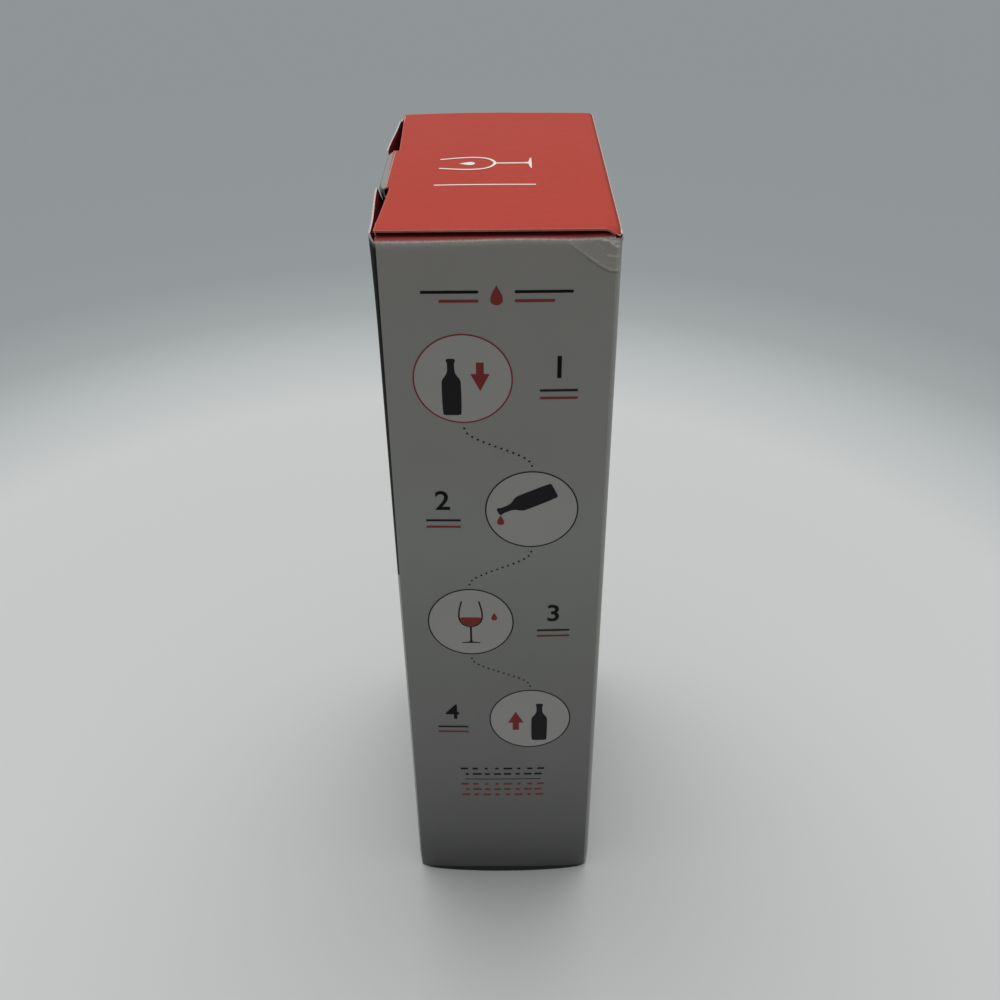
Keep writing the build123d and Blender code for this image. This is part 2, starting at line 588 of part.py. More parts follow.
def make_jaws():
    near, far = JAW_Y
    shoulder = 6.6  # the plate's corners are cut off this far along Y
    low, high = 114, 192
    plate = [
        (near, low + 8),
        (near + shoulder, low),
        (far - shoulder, low),
        (far, low + 8),
        (far, high - 8),
        (far - shoulder, high),
        (near + shoulder, high),
        (near, high - 8),
    ]
    jaw = side_profile(plate, JAW_X)
    jaw = fillet(jaw.faces().sort_by(Axis.X)[-1].edges(), 1.6)
    jaw += Pos(0, NEEDLE_Y, 0) * block((PAD_X[1], JAW_X[0] + 0.2), both(10), (123, 139))
    jaw -= block((JAW_X[1] - 1.2, 27), (-22, -18), (134, 152))  # slot-shaped mark on the outer face
    for ridge in range(4):
        jaw -= bar_y(0.6, JAW_X[1], (-40, 0), 172 + 4 * ridge)
    jaw -= bar_y(JAW_PIN_RADIUS + RUNNING, JAW_PIN_X, (-42, 2), JAW_PIN_Z)
    pad = block(PAD_X, (-29, -11), (124, 138))
    for groove in range(3):
        pad -= bar_y(0.4, PAD_X[0], (-30, -10), 127 + 4 * groove)
    spring = Pos(CLAMP_NARROW, NEEDLE_Y, JAW_SPRING_Z) * Rot(0, 90, 0) * coil(2.8, 0.35, 6.7, 4)
    pieces = {"jaw": jaw, "jaw_pad": pad, "jaw_spring": spring}
    for name, piece in pieces.items():
        parts[f"{name}_right"] = piece
        parts[f"{name}_left"] = mirrored(piece)
    pin = bar_y(JAW_PIN_RADIUS, JAW_PIN_X, (-40.2, 0.2), JAW_PIN_Z)
    parts["jaw_pins"] = Compound(children=[pin, mirrored(pin)])


# ------------------------------------------------------------------------------------- build all
make_walls()
make_bottom()
make_lid()
make_tuck_flap()
make_dust_flaps()
make_insert()
make_accessories()
make_shells()
make_shell_screws()
make_valve()
make_needle()
make_regulator()
make_lever()
make_handle()
make_rail()
make_clamp_body()
make_jaws()

os.makedirs("parts", exist_ok=True)
for name, shape in parts.items():
    export_step(shape, f"parts/{name}.step")
print(len(parts), "nodes")
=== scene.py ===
# %% [markdown]
# A wine preservation dispenser in its closed carton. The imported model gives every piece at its
# real size and place, in one shared frame. This lesson only dresses it: folded board for the
# carton, print on the board, and moulded, drawn and turned finishes for the tool inside.

import json
import math

import bmesh
import bpy
import numpy as np
from mathutils import Matrix, Vector
from mathutils.geometry import delaunay_2d_cdt


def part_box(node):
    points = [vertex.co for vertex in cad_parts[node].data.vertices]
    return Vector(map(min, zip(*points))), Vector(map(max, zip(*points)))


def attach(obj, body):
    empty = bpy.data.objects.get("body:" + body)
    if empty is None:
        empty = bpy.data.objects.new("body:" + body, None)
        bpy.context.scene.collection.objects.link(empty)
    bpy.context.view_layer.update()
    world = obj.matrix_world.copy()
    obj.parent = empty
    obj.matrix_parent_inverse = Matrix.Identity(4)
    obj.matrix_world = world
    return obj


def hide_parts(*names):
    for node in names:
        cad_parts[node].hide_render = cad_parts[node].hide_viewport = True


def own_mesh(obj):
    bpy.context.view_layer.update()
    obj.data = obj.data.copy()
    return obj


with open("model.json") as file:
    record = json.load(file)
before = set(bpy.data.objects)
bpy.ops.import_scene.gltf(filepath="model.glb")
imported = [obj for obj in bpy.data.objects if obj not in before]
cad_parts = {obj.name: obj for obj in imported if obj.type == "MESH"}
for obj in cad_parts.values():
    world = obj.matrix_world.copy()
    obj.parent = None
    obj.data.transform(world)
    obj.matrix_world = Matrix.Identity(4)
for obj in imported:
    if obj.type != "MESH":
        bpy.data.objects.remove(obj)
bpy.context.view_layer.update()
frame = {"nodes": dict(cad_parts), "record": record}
NODES = frame["nodes"]
SLOT_OF = {part["node"]: part["material_slot"] for part in frame["record"]["subparts"]}

# %% [markdown]
# Everything below is thought out in millimetres, because that is how a carton maker draws.
# Blender counts in metres, so one factor turns the numbers over when a mesh is made. The walls'
# own sizes are read from the frame, so they can never drift away from the model.

# %% Sizes from the frame
MM = 0.001


def span(node, axis):
    """The low and high end of a node along one axis, in millimetres."""
    low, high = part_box(node)
    return low[axis] / MM, high[axis] / MM


HALF_W = span("back_panel", 0)[1]
HALF_D = span("front_panel", 1)[1]
TOP = span("lid_panel", 2)[1]
BOARD = span("front_panel", 0)[1] - span("front_panel", 0)[0]
SIDE_TOP = span("side_panel_near", 2)[1]
BACK_TOP = span("back_panel", 2)[1]
DUST_TOP = span("dust_flap_near", 2)[1]
print("carton", 2 * HALF_W, 2 * HALF_D, TOP, "board", round(BOARD, 3))

# %% [markdown]
# A material is a small tree of nodes. One function adds a node, sets it and wires it, so that
# each tree further down reads like a recipe. Colours are written as the hex values that a
# designer would pick, and one function turns them into the linear light that Blender adds up.

# %% Node and colour helpers
def linear(hex_code, shade=1.0):
    """An sRGB hex colour as linear red, green, blue and alpha, darker where shade is below 1."""
    channels = [int(hex_code[i:i + 2], 16) / 255 for i in (1, 3, 5)]
    flat = [c / 12.92 if c <= 0.04045 else ((c + 0.055) / 1.055) ** 2.4 for c in channels]
    return (*[c * shade for c in flat], 1.0)


def pitch(size_mm):
    """The scale of a pattern whose marks are about this many millimetres across."""
    return 1 / (size_mm * MM)


def feed(made, inputs):
    """Fill a node's inputs, by name or in order: values are typed in, sockets and nodes wired."""
    if isinstance(inputs, dict):
        pairs = [(made.inputs[name], value) for name, value in inputs.items()]
    else:
        pairs = zip([socket for socket in made.inputs if socket.enabled], inputs)
    for socket, value in pairs:
        if isinstance(value, bpy.types.Node):
            value = next(output for output in value.outputs if output.enabled)
        if isinstance(value, bpy.types.NodeSocket):
            made.id_data.links.new(value, socket)
        else:
            socket.default_value = value


def node(tree, kind, inputs=(), **settings):
    """Add one node with its own settings, and fill its inputs."""
    made = tree.nodes.new(kind if "Node" in kind else f"ShaderNode{kind}")
    for name, value in settings.items():
        setattr(made, name, value)
    feed(made, inputs)
    return made


def new_material(name, **surface):
    """A material with one Principled surface, its tree, that node, and the point on the piece."""
    made = bpy.data.materials.new(name)
    made.use_nodes = True
    tree = made.node_tree
    shader = tree.nodes["Principled BSDF"]
    feed(shader, {key.replace("_", " "): value for key, value in surface.items()})
    return made, tree, shader, node(tree, "TexCoord").outputs["Object"]


print("middle grey as light", round(linear("#808080")[0], 3))

# %% [markdown]
# The camera looks down on the narrow side from a little above the carton's top. Its lens, height
# and tilt follow from how strongly the tall carton narrows towards its foot. A hand holds it, so
# it is turned and rolled by half a degree. It comes first, because everything after it is judged
# through it.

# %% Camera
VIEW_FROM = Vector((2.9, -396.7, 440.9)) * MM
VIEW_TILT = 34.63
VIEW_TURN = 0.445
VIEW_ROLL = -0.676
FOCAL_PIXELS = 1069.0
PICTURE = 1000.0


def new_object(name, data):
    """An object for this camera, lamp, mesh or curve, linked to the scene."""
    made = bpy.data.objects.new(name, data)
    bpy.context.scene.collection.objects.link(made)
    return made


camera_data = bpy.data.cameras.new("camera")
camera_data.sensor_width = 36.0
camera_data.lens = FOCAL_PIXELS / PICTURE * camera_data.sensor_width
camera_data.clip_start = 0.01
camera = new_object("camera", camera_data)
camera.location = VIEW_FROM
aim = Matrix.Rotation(math.radians(VIEW_TURN), 3, "Z")
aim = aim @ Matrix.Rotation(math.radians(90 - VIEW_TILT), 3, "X")
camera.rotation_euler = (aim @ Matrix.Rotation(math.radians(VIEW_ROLL), 3, "Z")).to_euler()
bpy.context.scene.camera = camera
print("lens", round(camera_data.lens, 2), "mm")

# %% [markdown]
# The table is a plain pale sheet. Its tone fades with distance, as a long sweep of studio paper
# looks, and this fade is painted light falloff: a pool of light round the carton that dims
# towards the far sheet. It could be a curved backdrop, but a wall would stand in the way when the
# carton is looked at from behind. So it is one flat sheet, with a band of tones round the carton.

# %% Floor
FLOOR_SIZE = 12.0
FLOOR_TONES_AND_FALLOFF = (
    (0.0, "#c5c8c7"), (0.40, "#c8cac9"), (0.49, "#b8bcbd"), (0.58, "#a1a6a7"),
    (0.69, "#94999b"), (0.82, "#919798"), (1.5, "#8f9596"),
)
# the painted pool of light is centred a little to the carton's left
FALLOFF_CENTRE = (-0.045, 0.0, 0.0)


def with_band(made, stops):
    """Give a colour ramp its stops, which run from 0 to 1."""
    band = made.color_ramp
    while len(band.elements) < len(stops):
        band.elements.new(0.5)
    for element, (at, tone) in zip(band.elements, stops):
        element.position = at
        element.color = linear(tone)
    return made


def make_floor():
    """Uncoated sweep paper, which has no gloss, only its tone, with painted light falloff."""
    mesh = bpy.data.meshes.new("floor")
    edge = FLOOR_SIZE / 2
    corners = [(-edge, -edge, 0), (edge, -edge, 0), (edge, edge, 0), (-edge, edge, 0)]
    mesh.from_pydata(corners, [], [(0, 1, 2, 3)])
    surface = {"Roughness": 1.0, "Specular_IOR_Level": 0.0}
    material, tree, shader, place = new_material("paper_sweep_matt", **surface)
    reach = FLOOR_TONES_AND_FALLOFF[-1][0]
    away = node(tree, "VectorMath", (place, FALLOFF_CENTRE), operation="DISTANCE")
    share = node(tree, "Math", (away, reach), operation="DIVIDE")
    tone = node(tree, "ValToRGB", (share,))
    feed(shader, {"Base Color": with_band(tone, [(at / reach, t) for at, t in FLOOR_TONES_AND_FALLOFF])})
    mesh.materials.append(material)
    new_object("floor", mesh)


make_floor()
print("floor", FLOOR_SIZE, "m wide")

# %% [markdown]
# The room gives a plain light from all round. The eye, and every shiny surface, sees the far
# tone of the sheet in its place, so that the floor's edge never shows. A picture of a studio
# would give livelier reflections, but it would also tint a carton that is all matt film.

# %% World
FAR_TONE = FLOOR_TONES_AND_FALLOFF[-1][1]
ROOM_LIGHT = 0.40


def make_world():
    """White room light; the eye and every reflection see the sheet's far tone instead."""
    world = bpy.data.worlds.new("studio")
    world.use_nodes = True
    tree = world.node_tree
    tree.nodes.clear()
    room = node(tree, "Background", (linear("#ffffff"), ROOM_LIGHT))
    seen = node(tree, "Background", (linear(FAR_TONE), 1.0))
    rays = node(tree, "LightPath").outputs
    bounced = (rays["Is Glossy Ray"], rays["Is Transmission Ray"])
    mirror = node(tree, "Math", bounced, operation="MAXIMUM")
    share = node(tree, "Math", (rays["Is Camera Ray"], mirror), operation="MAXIMUM")
    node(tree, "OutputWorld", (node(tree, "MixShader", (share, room, seen)),))
    bpy.context.scene.world = world


make_world()
print("room light", ROOM_LIGHT)

# %% [markdown]
# One wide, soft light stands high and a little behind the carton. So the side that faces the
# camera is in its own shade, and a soft shadow falls forward. A sun with a wide angle lights
# the whole sheet evenly, which a lamp near the carton would not.

# %% Light
SUN_SHARE = 0.60
SUN_FROM = (-0.03, 0.5, 1.2)
SUN_SPREAD = 68.0


def make_sun():
    lamp = bpy.data.lights.new("window_light", "SUN")
    lamp.angle = math.radians(SUN_SPREAD)
    upright = Vector(SUN_FROM).normalized()
    lamp.energy = SUN_SHARE * math.pi / upright.z
    holder = new_object("window_light", lamp)
    holder.location = SUN_FROM
    holder.rotation_euler = upright.to_track_quat("Z", "Y").to_euler()


make_sun()
bpy.context.scene.view_settings.view_transform = "Standard"
print("light on a flat sheet", ROOM_LIGHT + SUN_SHARE)

# %% [markdown]
# Folding boxboard is paper pulp, pressed in layers, coated white, printed and covered with a thin
# matt film. The eye sees flat ink with a soft sheen, pale fibres where a crease has cracked the
# coat, and a paler core along every cut. The film is matt, so its roughness is well above
# varnish. Ink colours change from panel to panel, so each print is its own material, and they
# share one function for the film, the wear, and the shade painted into scores and hollows.

# %% Film over ink
CREASE_PALE = "#ded8ce"
# the tone of painted shade in scored grooves and in the hollow under a crease
PAINTED_SHADE_TONE = "#1c0e0c"
CRACK_SPECK = 0.8
BOARD_CLOUD = 22.0
FILM_CLOUD = 4.0
FILM_WAVE = 9.0
WAVE_SHARE = 5.0
# a paper fibre is about 0.03 mm thick, so its grain is drawn ten times coarser in order to show
FIBRE_GRAIN = 0.35
FILM_RELIEF = 0.010


def film_over_ink(tree, shader, place, ink):
    """Lay worn, pale fibre over the ink, then the film's sheen and the board's faint waves.

    Every point's value was worked out when its sheet was folded. Above 0 it is cracked film that
    shows fibre. Below 0 it is painted shade, in a scored groove or in the hollow under a crease.
    """
    wear = node(tree, "Attribute", attribute_name="wear").outputs["Fac"]
    cracked = node(tree, "Math", (wear, 0.0), operation="MAXIMUM")
    speck = node(tree, "TexNoise", (place, pitch(CRACK_SPECK), 3.0))
    fleck = node(tree, "MapRange", (speck, 0.38, 0.6, 0.6, 1.0))
    worn = node(tree, "Math", (cracked, fleck), operation="MULTIPLY")
    # painted shade: below 0 the ink is darkened towards the shade tone, in grooves and hollows
    sunk = node(tree, "Math", (wear, -1.0), operation="MULTIPLY")
    groove_shade = node(tree, "Math", (sunk, 0.0), operation="MAXIMUM")
    shaded_ink = node(tree, "Mix", (groove_shade, ink, linear(PAINTED_SHADE_TONE)), data_type="RGBA")
    colour = node(tree, "Mix", (worn, shaded_ink, linear(CREASE_PALE)), data_type="RGBA")
    cloud = node(tree, "TexNoise", (place, pitch(BOARD_CLOUD), 2.0))
    shade = node(tree, "MapRange", (cloud, 0.0, 1.0, 0.965, 1.035))
    dull = node(tree, "TexNoise", (place, pitch(FILM_CLOUD), 3.0))
    wave = node(tree, "TexNoise", (place, pitch(FILM_WAVE), 1.0))
    fibre = node(tree, "TexNoise", (place, pitch(FIBRE_GRAIN), 3.0))
    height = node(tree, "Math", (wave, WAVE_SHARE, fibre), operation="MULTIPLY_ADD")
    feed(shader, {
        "Base Color": node(tree, "HueSaturation", {"Color": colour, "Value": shade}),
        "Roughness": node(tree, "MapRange", (dull, 0.0, 1.0, 0.46, 0.58)),
        "Normal": node(tree, "Bump", {"Height": height, "Distance": FILM_RELIEF * MM}),
    })


print("film waves", FILM_WAVE, "mm, fibre", FIBRE_GRAIN, "mm")

# %% [markdown]
# Where the board is cut its pulp is bare, and the carton's inside is flooded with red ink but has
# no film. Both are matt, with pale flecks and short fibres, so one recipe serves them: a tone and
# a darker share of it, mixed by a fine noise. Printed board is one recipe too, for any flat ink.

# %% Printed and bare board
BOARD_IOR = 1.5
MATT_FILM = 0.25
PULP_SHEEN = 0.12
PULP_FLECK = 1.6
# drawn ten times coarser than real fibres, as on the film
PULP_GRAIN = 0.5
PULP_RELIEF = 0.03
CORE_PALE = "#d3c4be"


def printed_board(name, tone, sheen=MATT_FILM):
    """Boxboard with one flat ink under matt film."""
    material, tree, shader, place = new_material(name, IOR=BOARD_IOR, Specular_IOR_Level=sheen)
    film_over_ink(tree, shader, place, linear(tone))
    return material


def uneven(tree, noise, low, high, tone, dark):
    """The tone itself, and a darker share of it where the noise is low."""
    share = node(tree, "MapRange", (noise, low, high), interpolation_type="SMOOTHSTEP")
    return node(tree, "Mix", (share, linear(tone, dark), linear(tone)), data_type="RGBA")


def plain_board(name, tone, rough=0.9):
    """Bare pulp: matt, faintly flecked, with a short fibre grain."""
    surface = {"IOR": BOARD_IOR, "Roughness": rough, "Specular_IOR_Level": PULP_SHEEN}
    material, tree, shader, place = new_material(name, **surface)
    flecks = node(tree, "TexNoise", (place, pitch(PULP_FLECK), 3.0))
    fibre = node(tree, "TexNoise", (place, pitch(PULP_GRAIN), 3.0))
    feed(shader, {
        "Base Color": uneven(tree, flecks, 0.35, 0.75, tone, 0.82),
        "Normal": node(tree, "Bump", {"Height": fibre, "Distance": PULP_RELIEF * MM}),
    })
    return material


RED_PRINT = printed_board("boxboard_red_matt_film", "#b12a0d")
DUST_PRINT = printed_board("boxboard_red_inner_flap", "#b2484a")
GREY_PRINT = printed_board("boxboard_grey_matt_film", "#777a77")
CUT_EDGE = plain_board("boxboard_cut_core", CORE_PALE)
STAINED_EDGE = plain_board("boxboard_cut_core_stained_by_red_ink", "#a56c62")
RED_INSIDE = plain_board("boxboard_red_flood_uncoated", "#780c13", 0.8)
print("board materials", 6)

# %% [markdown]
# The wall print runs round all four panels, so it is one material that asks where it is. The
# narrow sides are a warm grey that darkens towards the foot. Along their foot runs a dark band
# of painted shade, deepest in the middle, for the shadow gap under the rounded foot. The wide
# panel at the tuck side is nearly black above and pale grey below, and its black runs a hair
# round the corner, because the print and the crease never meet exactly. The wide panel at the
# hinge is a lighter grey, and that grey laps round its two creases as a painted highlight.

# %% Wall print
BLACK_FIELD_FOOT = 180.0
FIELD_BLUR = 0.2
OVERPRINT_TOP = 1.6
OVERPRINT_FOOT = 0.8
# the hinge grey laps this far round its creases, as a painted highlight along them
HIGHLIGHT_LAP = 1.2
# the dark band along the foot is painted shade, for the shadow gap under the rounded foot
FOOT_SHADE_DEPTH = 2.4
FOOT_SHADE_ENDS = 1.2
GREY_FADE = (
    (0.0, "#444444"), (0.02, "#515151"), (0.10, "#646464"), (0.26, "#737372"),
    (0.42, "#7b7c79"), (0.62, "#888985"), (0.80, "#8a8986"), (1.0, "#8c8985"),
)
PALE_FADE = ((0.0, "#808280"), (0.3, "#abada9"), (1.0, "#afb1ad"))
FIELD_BLACK = "#111311"
HINGE_GREY_AND_HIGHLIGHT = "#a3a5a1"
FOOT_SHADE_TONE = "#1d1f1e"


def make_wall_print():
    surface = {"IOR": BOARD_IOR, "Specular_IOR_Level": MATT_FILM}
    material, tree, shader, place = new_material("boxboard_wall_print_matt_film", **surface)
    x, _, z = node(tree, "SeparateXYZ", (place,)).outputs
    height = node(tree, "Math", (z, TOP * MM), operation="DIVIDE")
    grey = with_band(node(tree, "ValToRGB", (height,)), GREY_FADE)
    pale = with_band(node(tree, "ValToRGB", (height,)), PALE_FADE)
    border = [(BLACK_FIELD_FOOT + blur) * MM for blur in (-FIELD_BLUR, FIELD_BLUR)]
    upper = node(tree, "MapRange", (z, *border), interpolation_type="SMOOTHSTEP")
    field = node(tree, "Mix", (upper, pale, linear(FIELD_BLACK)), data_type="RGBA")
    laps = [(lap - HALF_W) * MM for lap in (OVERPRINT_FOOT, OVERPRINT_TOP)]
    edge = node(tree, "MapRange", (z, BLACK_FIELD_FOOT * MM, TOP * MM, *laps))
    front = node(tree, "Math", (x, edge), operation="LESS_THAN")
    # the hinge panel's own lighter grey, which also laps round its creases as a painted highlight
    back = node(tree, "Math", (x, (HALF_W - HIGHLIGHT_LAP) * MM), operation="GREATER_THAN")
    hinge_grey_and_highlight = node(tree, "Mix", (0.5, grey, linear(HINGE_GREY_AND_HIGHLIGHT)), data_type="RGBA")
    # painted shade: a dark band along the narrow sides' foot, deepest in the middle
    across = node(tree, "Math", (x, HALF_W * MM), operation="DIVIDE")
    middle = node(tree, "Math", (across, 2.0), operation="POWER")
    curve = (middle, -FOOT_SHADE_DEPTH * MM, (FOOT_SHADE_DEPTH + FOOT_SHADE_ENDS) * MM)
    foot = node(tree, "Math", curve, operation="MULTIPLY_ADD")
    low = node(tree, "Math", (z, foot), operation="LESS_THAN")
    side = node(tree, "Mix", (low, grey, linear(FOOT_SHADE_TONE)), data_type="RGBA")
    walls = node(tree, "Mix", (front, side, field), data_type="RGBA")
    ink = node(tree, "Mix", (back, walls, hinge_grey_and_highlight), data_type="RGBA")
    film_over_ink(tree, shader, place, ink)
    return material


WALL_PRINT = make_wall_print()
print("wall print", len(WALL_PRINT.node_tree.nodes), "nodes")

# %% [markdown]
# A folded board is easiest to make as a grid of points that is bent by a rule, because then the
# creases, the bulge and the wear all come from the same few numbers. The grid is a single skin.
# Solidify gives it the board's thickness afterwards, with the pale core on the cut rim and the
# red flood of ink inside. A cloth simulation could fold a blank too, but not twice the same way.

# %% Sheet helpers
def clamp(value):
    return min(max(value, 0.0), 1.0)


def between(start, end, share):
    return start + (end - start) * share


def bell(distance, width):
    """1 where the distance is 0, and nearly 0 from twice the width on."""
    return math.exp(-((distance / width) ** 2))


def corner_trim(radius, past):
    """How far a round corner has cut an edge back, this far past the corner's start."""
    return radius - math.sqrt(max(radius**2 - past**2, 0.0))


def ladder(*flights):
    """Values in steps: each flight is a start, an end and a step to divide it by."""
    values = [flights[0][0]]
    for start, end, step in flights:
        count = max(1, round(abs(end - start) / step))
        values += [start + (end - start) * (i + 1) / count for i in range(count)]
    return values


def grid_faces(columns, rows, closed=False):
    """Quads between neighbouring columns of points, each column listed from foot to top."""
    faces = []
    for i in range(columns if closed else columns - 1):
        here, there = i * rows, (i + 1) % columns * rows
        faces += [(here + j, there + j, there + j + 1, here + j + 1) for j in range(rows - 1)]
    return faces


def add_piece(name, points, faces, materials, wear=None):
    """A mesh object from points in millimetres, with its wear as an attribute."""
    mesh = bpy.data.meshes.new(name)
    mesh.from_pydata([tuple(c * MM for c in p) for p in points], [], faces)
    if wear is not None:
        mesh.attributes.new("wear", "FLOAT", "POINT").data.foreach_set("value", wear)
    for material in materials:
        mesh.materials.append(material)
    return new_object(name, mesh)


def bake_modifiers(piece, smooth_angle=40):
    """Turn the modified piece into a plain mesh, smooth but for its sharp edges."""
    graph = bpy.context.evaluated_depsgraph_get()
    mesh = bpy.data.meshes.new_from_object(piece.evaluated_get(graph))
    piece.modifiers.clear()
    piece.data = mesh
    mesh.shade_smooth()
    mesh.set_sharp_from_angle(angle=math.radians(smooth_angle))
    return piece


def thicken(piece, thickness=BOARD):
    """Give a skin the board's thickness inwards: its second material on the rim, third inside."""
    solidify = piece.modifiers.new("board", "SOLIDIFY")
    solidify.thickness = thickness * MM
    solidify.offset = -1
    solidify.use_even_offset = False
    solidify.material_offset_rim = 1
    solidify.material_offset = 2
    return bake_modifiers(piece)


print("a ladder of four steps", ladder((0.0, 1.0, 0.25)))

# %% [markdown]
# The wrap is the carton's four walls, cut and folded from one blank. A full carton never has flat
# walls: they belly out a little, most of all the wide ones. The tuck side's free edge flares where
# fingers have pulled at it, the lower corners are bruised round, and one upper corner is crushed,
# with curved wrinkles in the film. Each of these is a small shift of the wall's points.

# %% Wall shape
FOLD = 1.1
FOOT_ROUND = 0.6
CORNER_BRUISE = 0.5
BRUISE_REACH = 3.5
FOOT_PINCH = 0.6
PINCH_RISE = 3.2
BELLY = {"near": 0.6, "back": 1.0, "far": 0.6, "front": 1.1}
BELLY_FULLNESS = 0.7
FOOT_BELLY = {"near": 3.7, "back": 1.2, "far": 2.0, "front": 1.2}
FOOT_FULLNESS = 0.6
FOOT_BELLY_RISE = 45.0
HALF = {"near": HALF_W, "back": HALF_D, "far": HALF_W, "front": HALF_D}
NOTCH_ENDS = (-25.0, 18.5)
NOTCH_DEPTH = 11.0
NOTCH_MIDDLE = sum(NOTCH_ENDS) / 2
NOTCH_HALF = (NOTCH_ENDS[1] - NOTCH_ENDS[0]) / 2
NOTCH_RADIUS = (NOTCH_HALF**2 + NOTCH_DEPTH**2) / (2 * NOTCH_DEPTH)
FLARE = 2.35
CORNER_FLARE = 0.6
FLARE_REACH = 24.0
FLARE_FOOT = 286.0
FLARE_CURVE = 1.6
FLARE_ENDS = 2.2
HINGE_SPREAD = 0.45


def spread(x):
    """The full carton stands a little wider towards the hinge than the flat blank's creases."""
    return x + HINGE_SPREAD * max(x, 0.0) / HALF_W


def flare_rise(z):
    """0 up to the flare's foot, and from there in a curve to 1 at the free edge."""
    return clamp((z - FLARE_FOOT) / (TOP - FLARE_FOOT)) ** FLARE_CURVE


def belly(side, u, z):
    """How far a full wall stands out from its plane, and where its free edge was pulled."""
    across = max(1 - (u / (HALF[side] - FOLD)) ** 2, 0.0)
    out = BELLY[side] * across * math.sin(math.pi * clamp(z / TOP)) ** BELLY_FULLNESS
    out += FOOT_BELLY[side] * across**FOOT_FULLNESS * math.exp(-z / FOOT_BELLY_RISE)
    if side == "front":
        ears = max(bell(-u - end, FLARE_REACH) for end in NOTCH_ENDS)
        pull = between(CORNER_FLARE, FLARE, ears * min(across * FLARE_ENDS, 1.0))
        out += flare_rise(z) * max(pull - out, 0.0)
    return out


print("belly of the near wall", round(max(belly("near", 0, z) for z in range(int(TOP))), 2), "mm")

# %% [markdown]
# The crushed corner has one main crease. Above it the board leans back, so it catches more of the
# light from above, and finer creases cross it, where the film has cracked white. Below it the
# board dips into a hollow, and the hollow's shade is painted into the colour. Each crease is a
# short run of points (u, z) on the wall, and a height is read between them.

# %% The crushed corner
DOG_EAR = (
    (22.0, 316.0), (26.0, 312.7), (29.5, 310.0), (33.0, 307.4), (36.5, 305.5), (39.2, 305.3),
)
LEAN = 0.17
LEAN_START = 4.0
FINE_CREASES = (
    (((34.2, 316.2), (35.6, 315.0), (36.8, 313.9), (38.2, 313.0), (39.2, 312.7)), 1.0),
    (((34.5, 310.6), (36.5, 309.9), (39.2, 309.6)), 0.35),
    (((28.5, 315.6), (31.5, 314.6), (33.0, 313.4), (34.2, 312.2)), 0.2),
    (((32.5, 315.2), (35.5, 314.9), (37.2, 314.6), (38.9, 314.2)), 0.9),
)
CREASE_RIDGE = 0.17
CREASE_WIDTH = 0.5
CREASE_START = 1.5
HOLLOW_DROP = 1.7
HOLLOW_START = 8.0
CREASE_WEAR = 0.35
HOLLOW_SHADE = 0.32
EAR_WEAR = 0.12


def along_crease(points, u, z, width):
    """1 on a crease, falling to 0 beside it and past its ends."""
    us, zs = zip(*points)
    if not us[0] <= u <= us[-1] + 0.5:
        return 0.0
    return bell(z - np.interp(u, us, zs), width) * min(1.0, (u - us[0]) / CREASE_START)


def crush(u, z):
    """How far the crushed corner moves the near wall, and its film's wear and painted shade."""
    us, zs = zip(*DOG_EAR)
    above = z - np.interp(u, us, zs)
    main = along_crease(DOG_EAR, u, z, CREASE_WIDTH)
    under = along_crease(DOG_EAR, u, z + HOLLOW_DROP * CREASE_WIDTH, CREASE_WIDTH * 0.7)
    under *= clamp((u - us[0]) / HOLLOW_START)
    shift = CREASE_RIDGE * (main - under)
    shift -= LEAN * max(above, 0.0) * clamp((u - us[0]) / LEAN_START)
    # the hollow under the main crease goes below 0 here: painted shade
    wear = CREASE_WEAR * main - HOLLOW_SHADE * under
    if above > 0 and u > us[0]:
        wear = max(wear, EAR_WEAR)
    for points, white in FINE_CREASES:
        line = along_crease(points, u, z, CREASE_WIDTH * 0.8)
        shift += CREASE_RIDGE * line
        if line > 0.05:
            wear = max(wear, min(1.6 * white * line, 1.0))
    return shift, wear


def on_wall(side, u, z, lift=0.0):
    """A point on a wall. u runs to the right for someone who faces that wall from outside."""
    out = belly(side, u, z) + lift
    if side == "near":
        out += crush(u, z)[0]
    return {
        "near": (spread(u), -HALF_D - out, z),
        "back": (spread(HALF_W) + out, u, z),
        "far": (spread(-u), HALF_D + out, z),
        "front": (-HALF_W - out, -u, z),
    }[side]


print("the crushed ear leans back", round(-crush(38.5, SIDE_TOP - 1)[0], 2), "mm")

# %% [markdown]
# The walls are listed panel by panel, with more columns where the shape is busy: at the crushed
# corner, along the thumb notch and at each crease. Every column runs from the round fold at the
# foot to that panel's own top edge.

# %% Columns and edges of the wrap
CORNERS = ("near", "back", "far", "front")
EDGE_Z = {"near": SIDE_TOP - 0.3, "far": SIDE_TOP - 0.3, "back": BACK_TOP - 0.2, "front": TOP}
CREASE_RISE = 0.7
ARC_STEPS = 5


def wall_columns():
    """(side, u) for each flat column, going round to the right, and corner arcs as shares."""
    w, d = HALF_W - FOLD, HALF_D - FOLD
    right, left = (-end for end in NOTCH_ENDS)
    flats = {
        "near": ladder((-w, 18.0, 3.2), (18.0, w, 0.3)),
        "back": ladder((-d, d, 5.0)),
        "far": ladder((-w, w, 4.0)),
        "front": ladder((-d, left, 2.2), (left, right, 0.9), (right, d, 2.2)),
    }
    columns = []
    for number, side in enumerate(CORNERS):
        columns += [("flat", side, u) for u in flats[side]]
        columns += [("arc", number, step / ARC_STEPS) for step in range(1, ARC_STEPS)]
    return columns


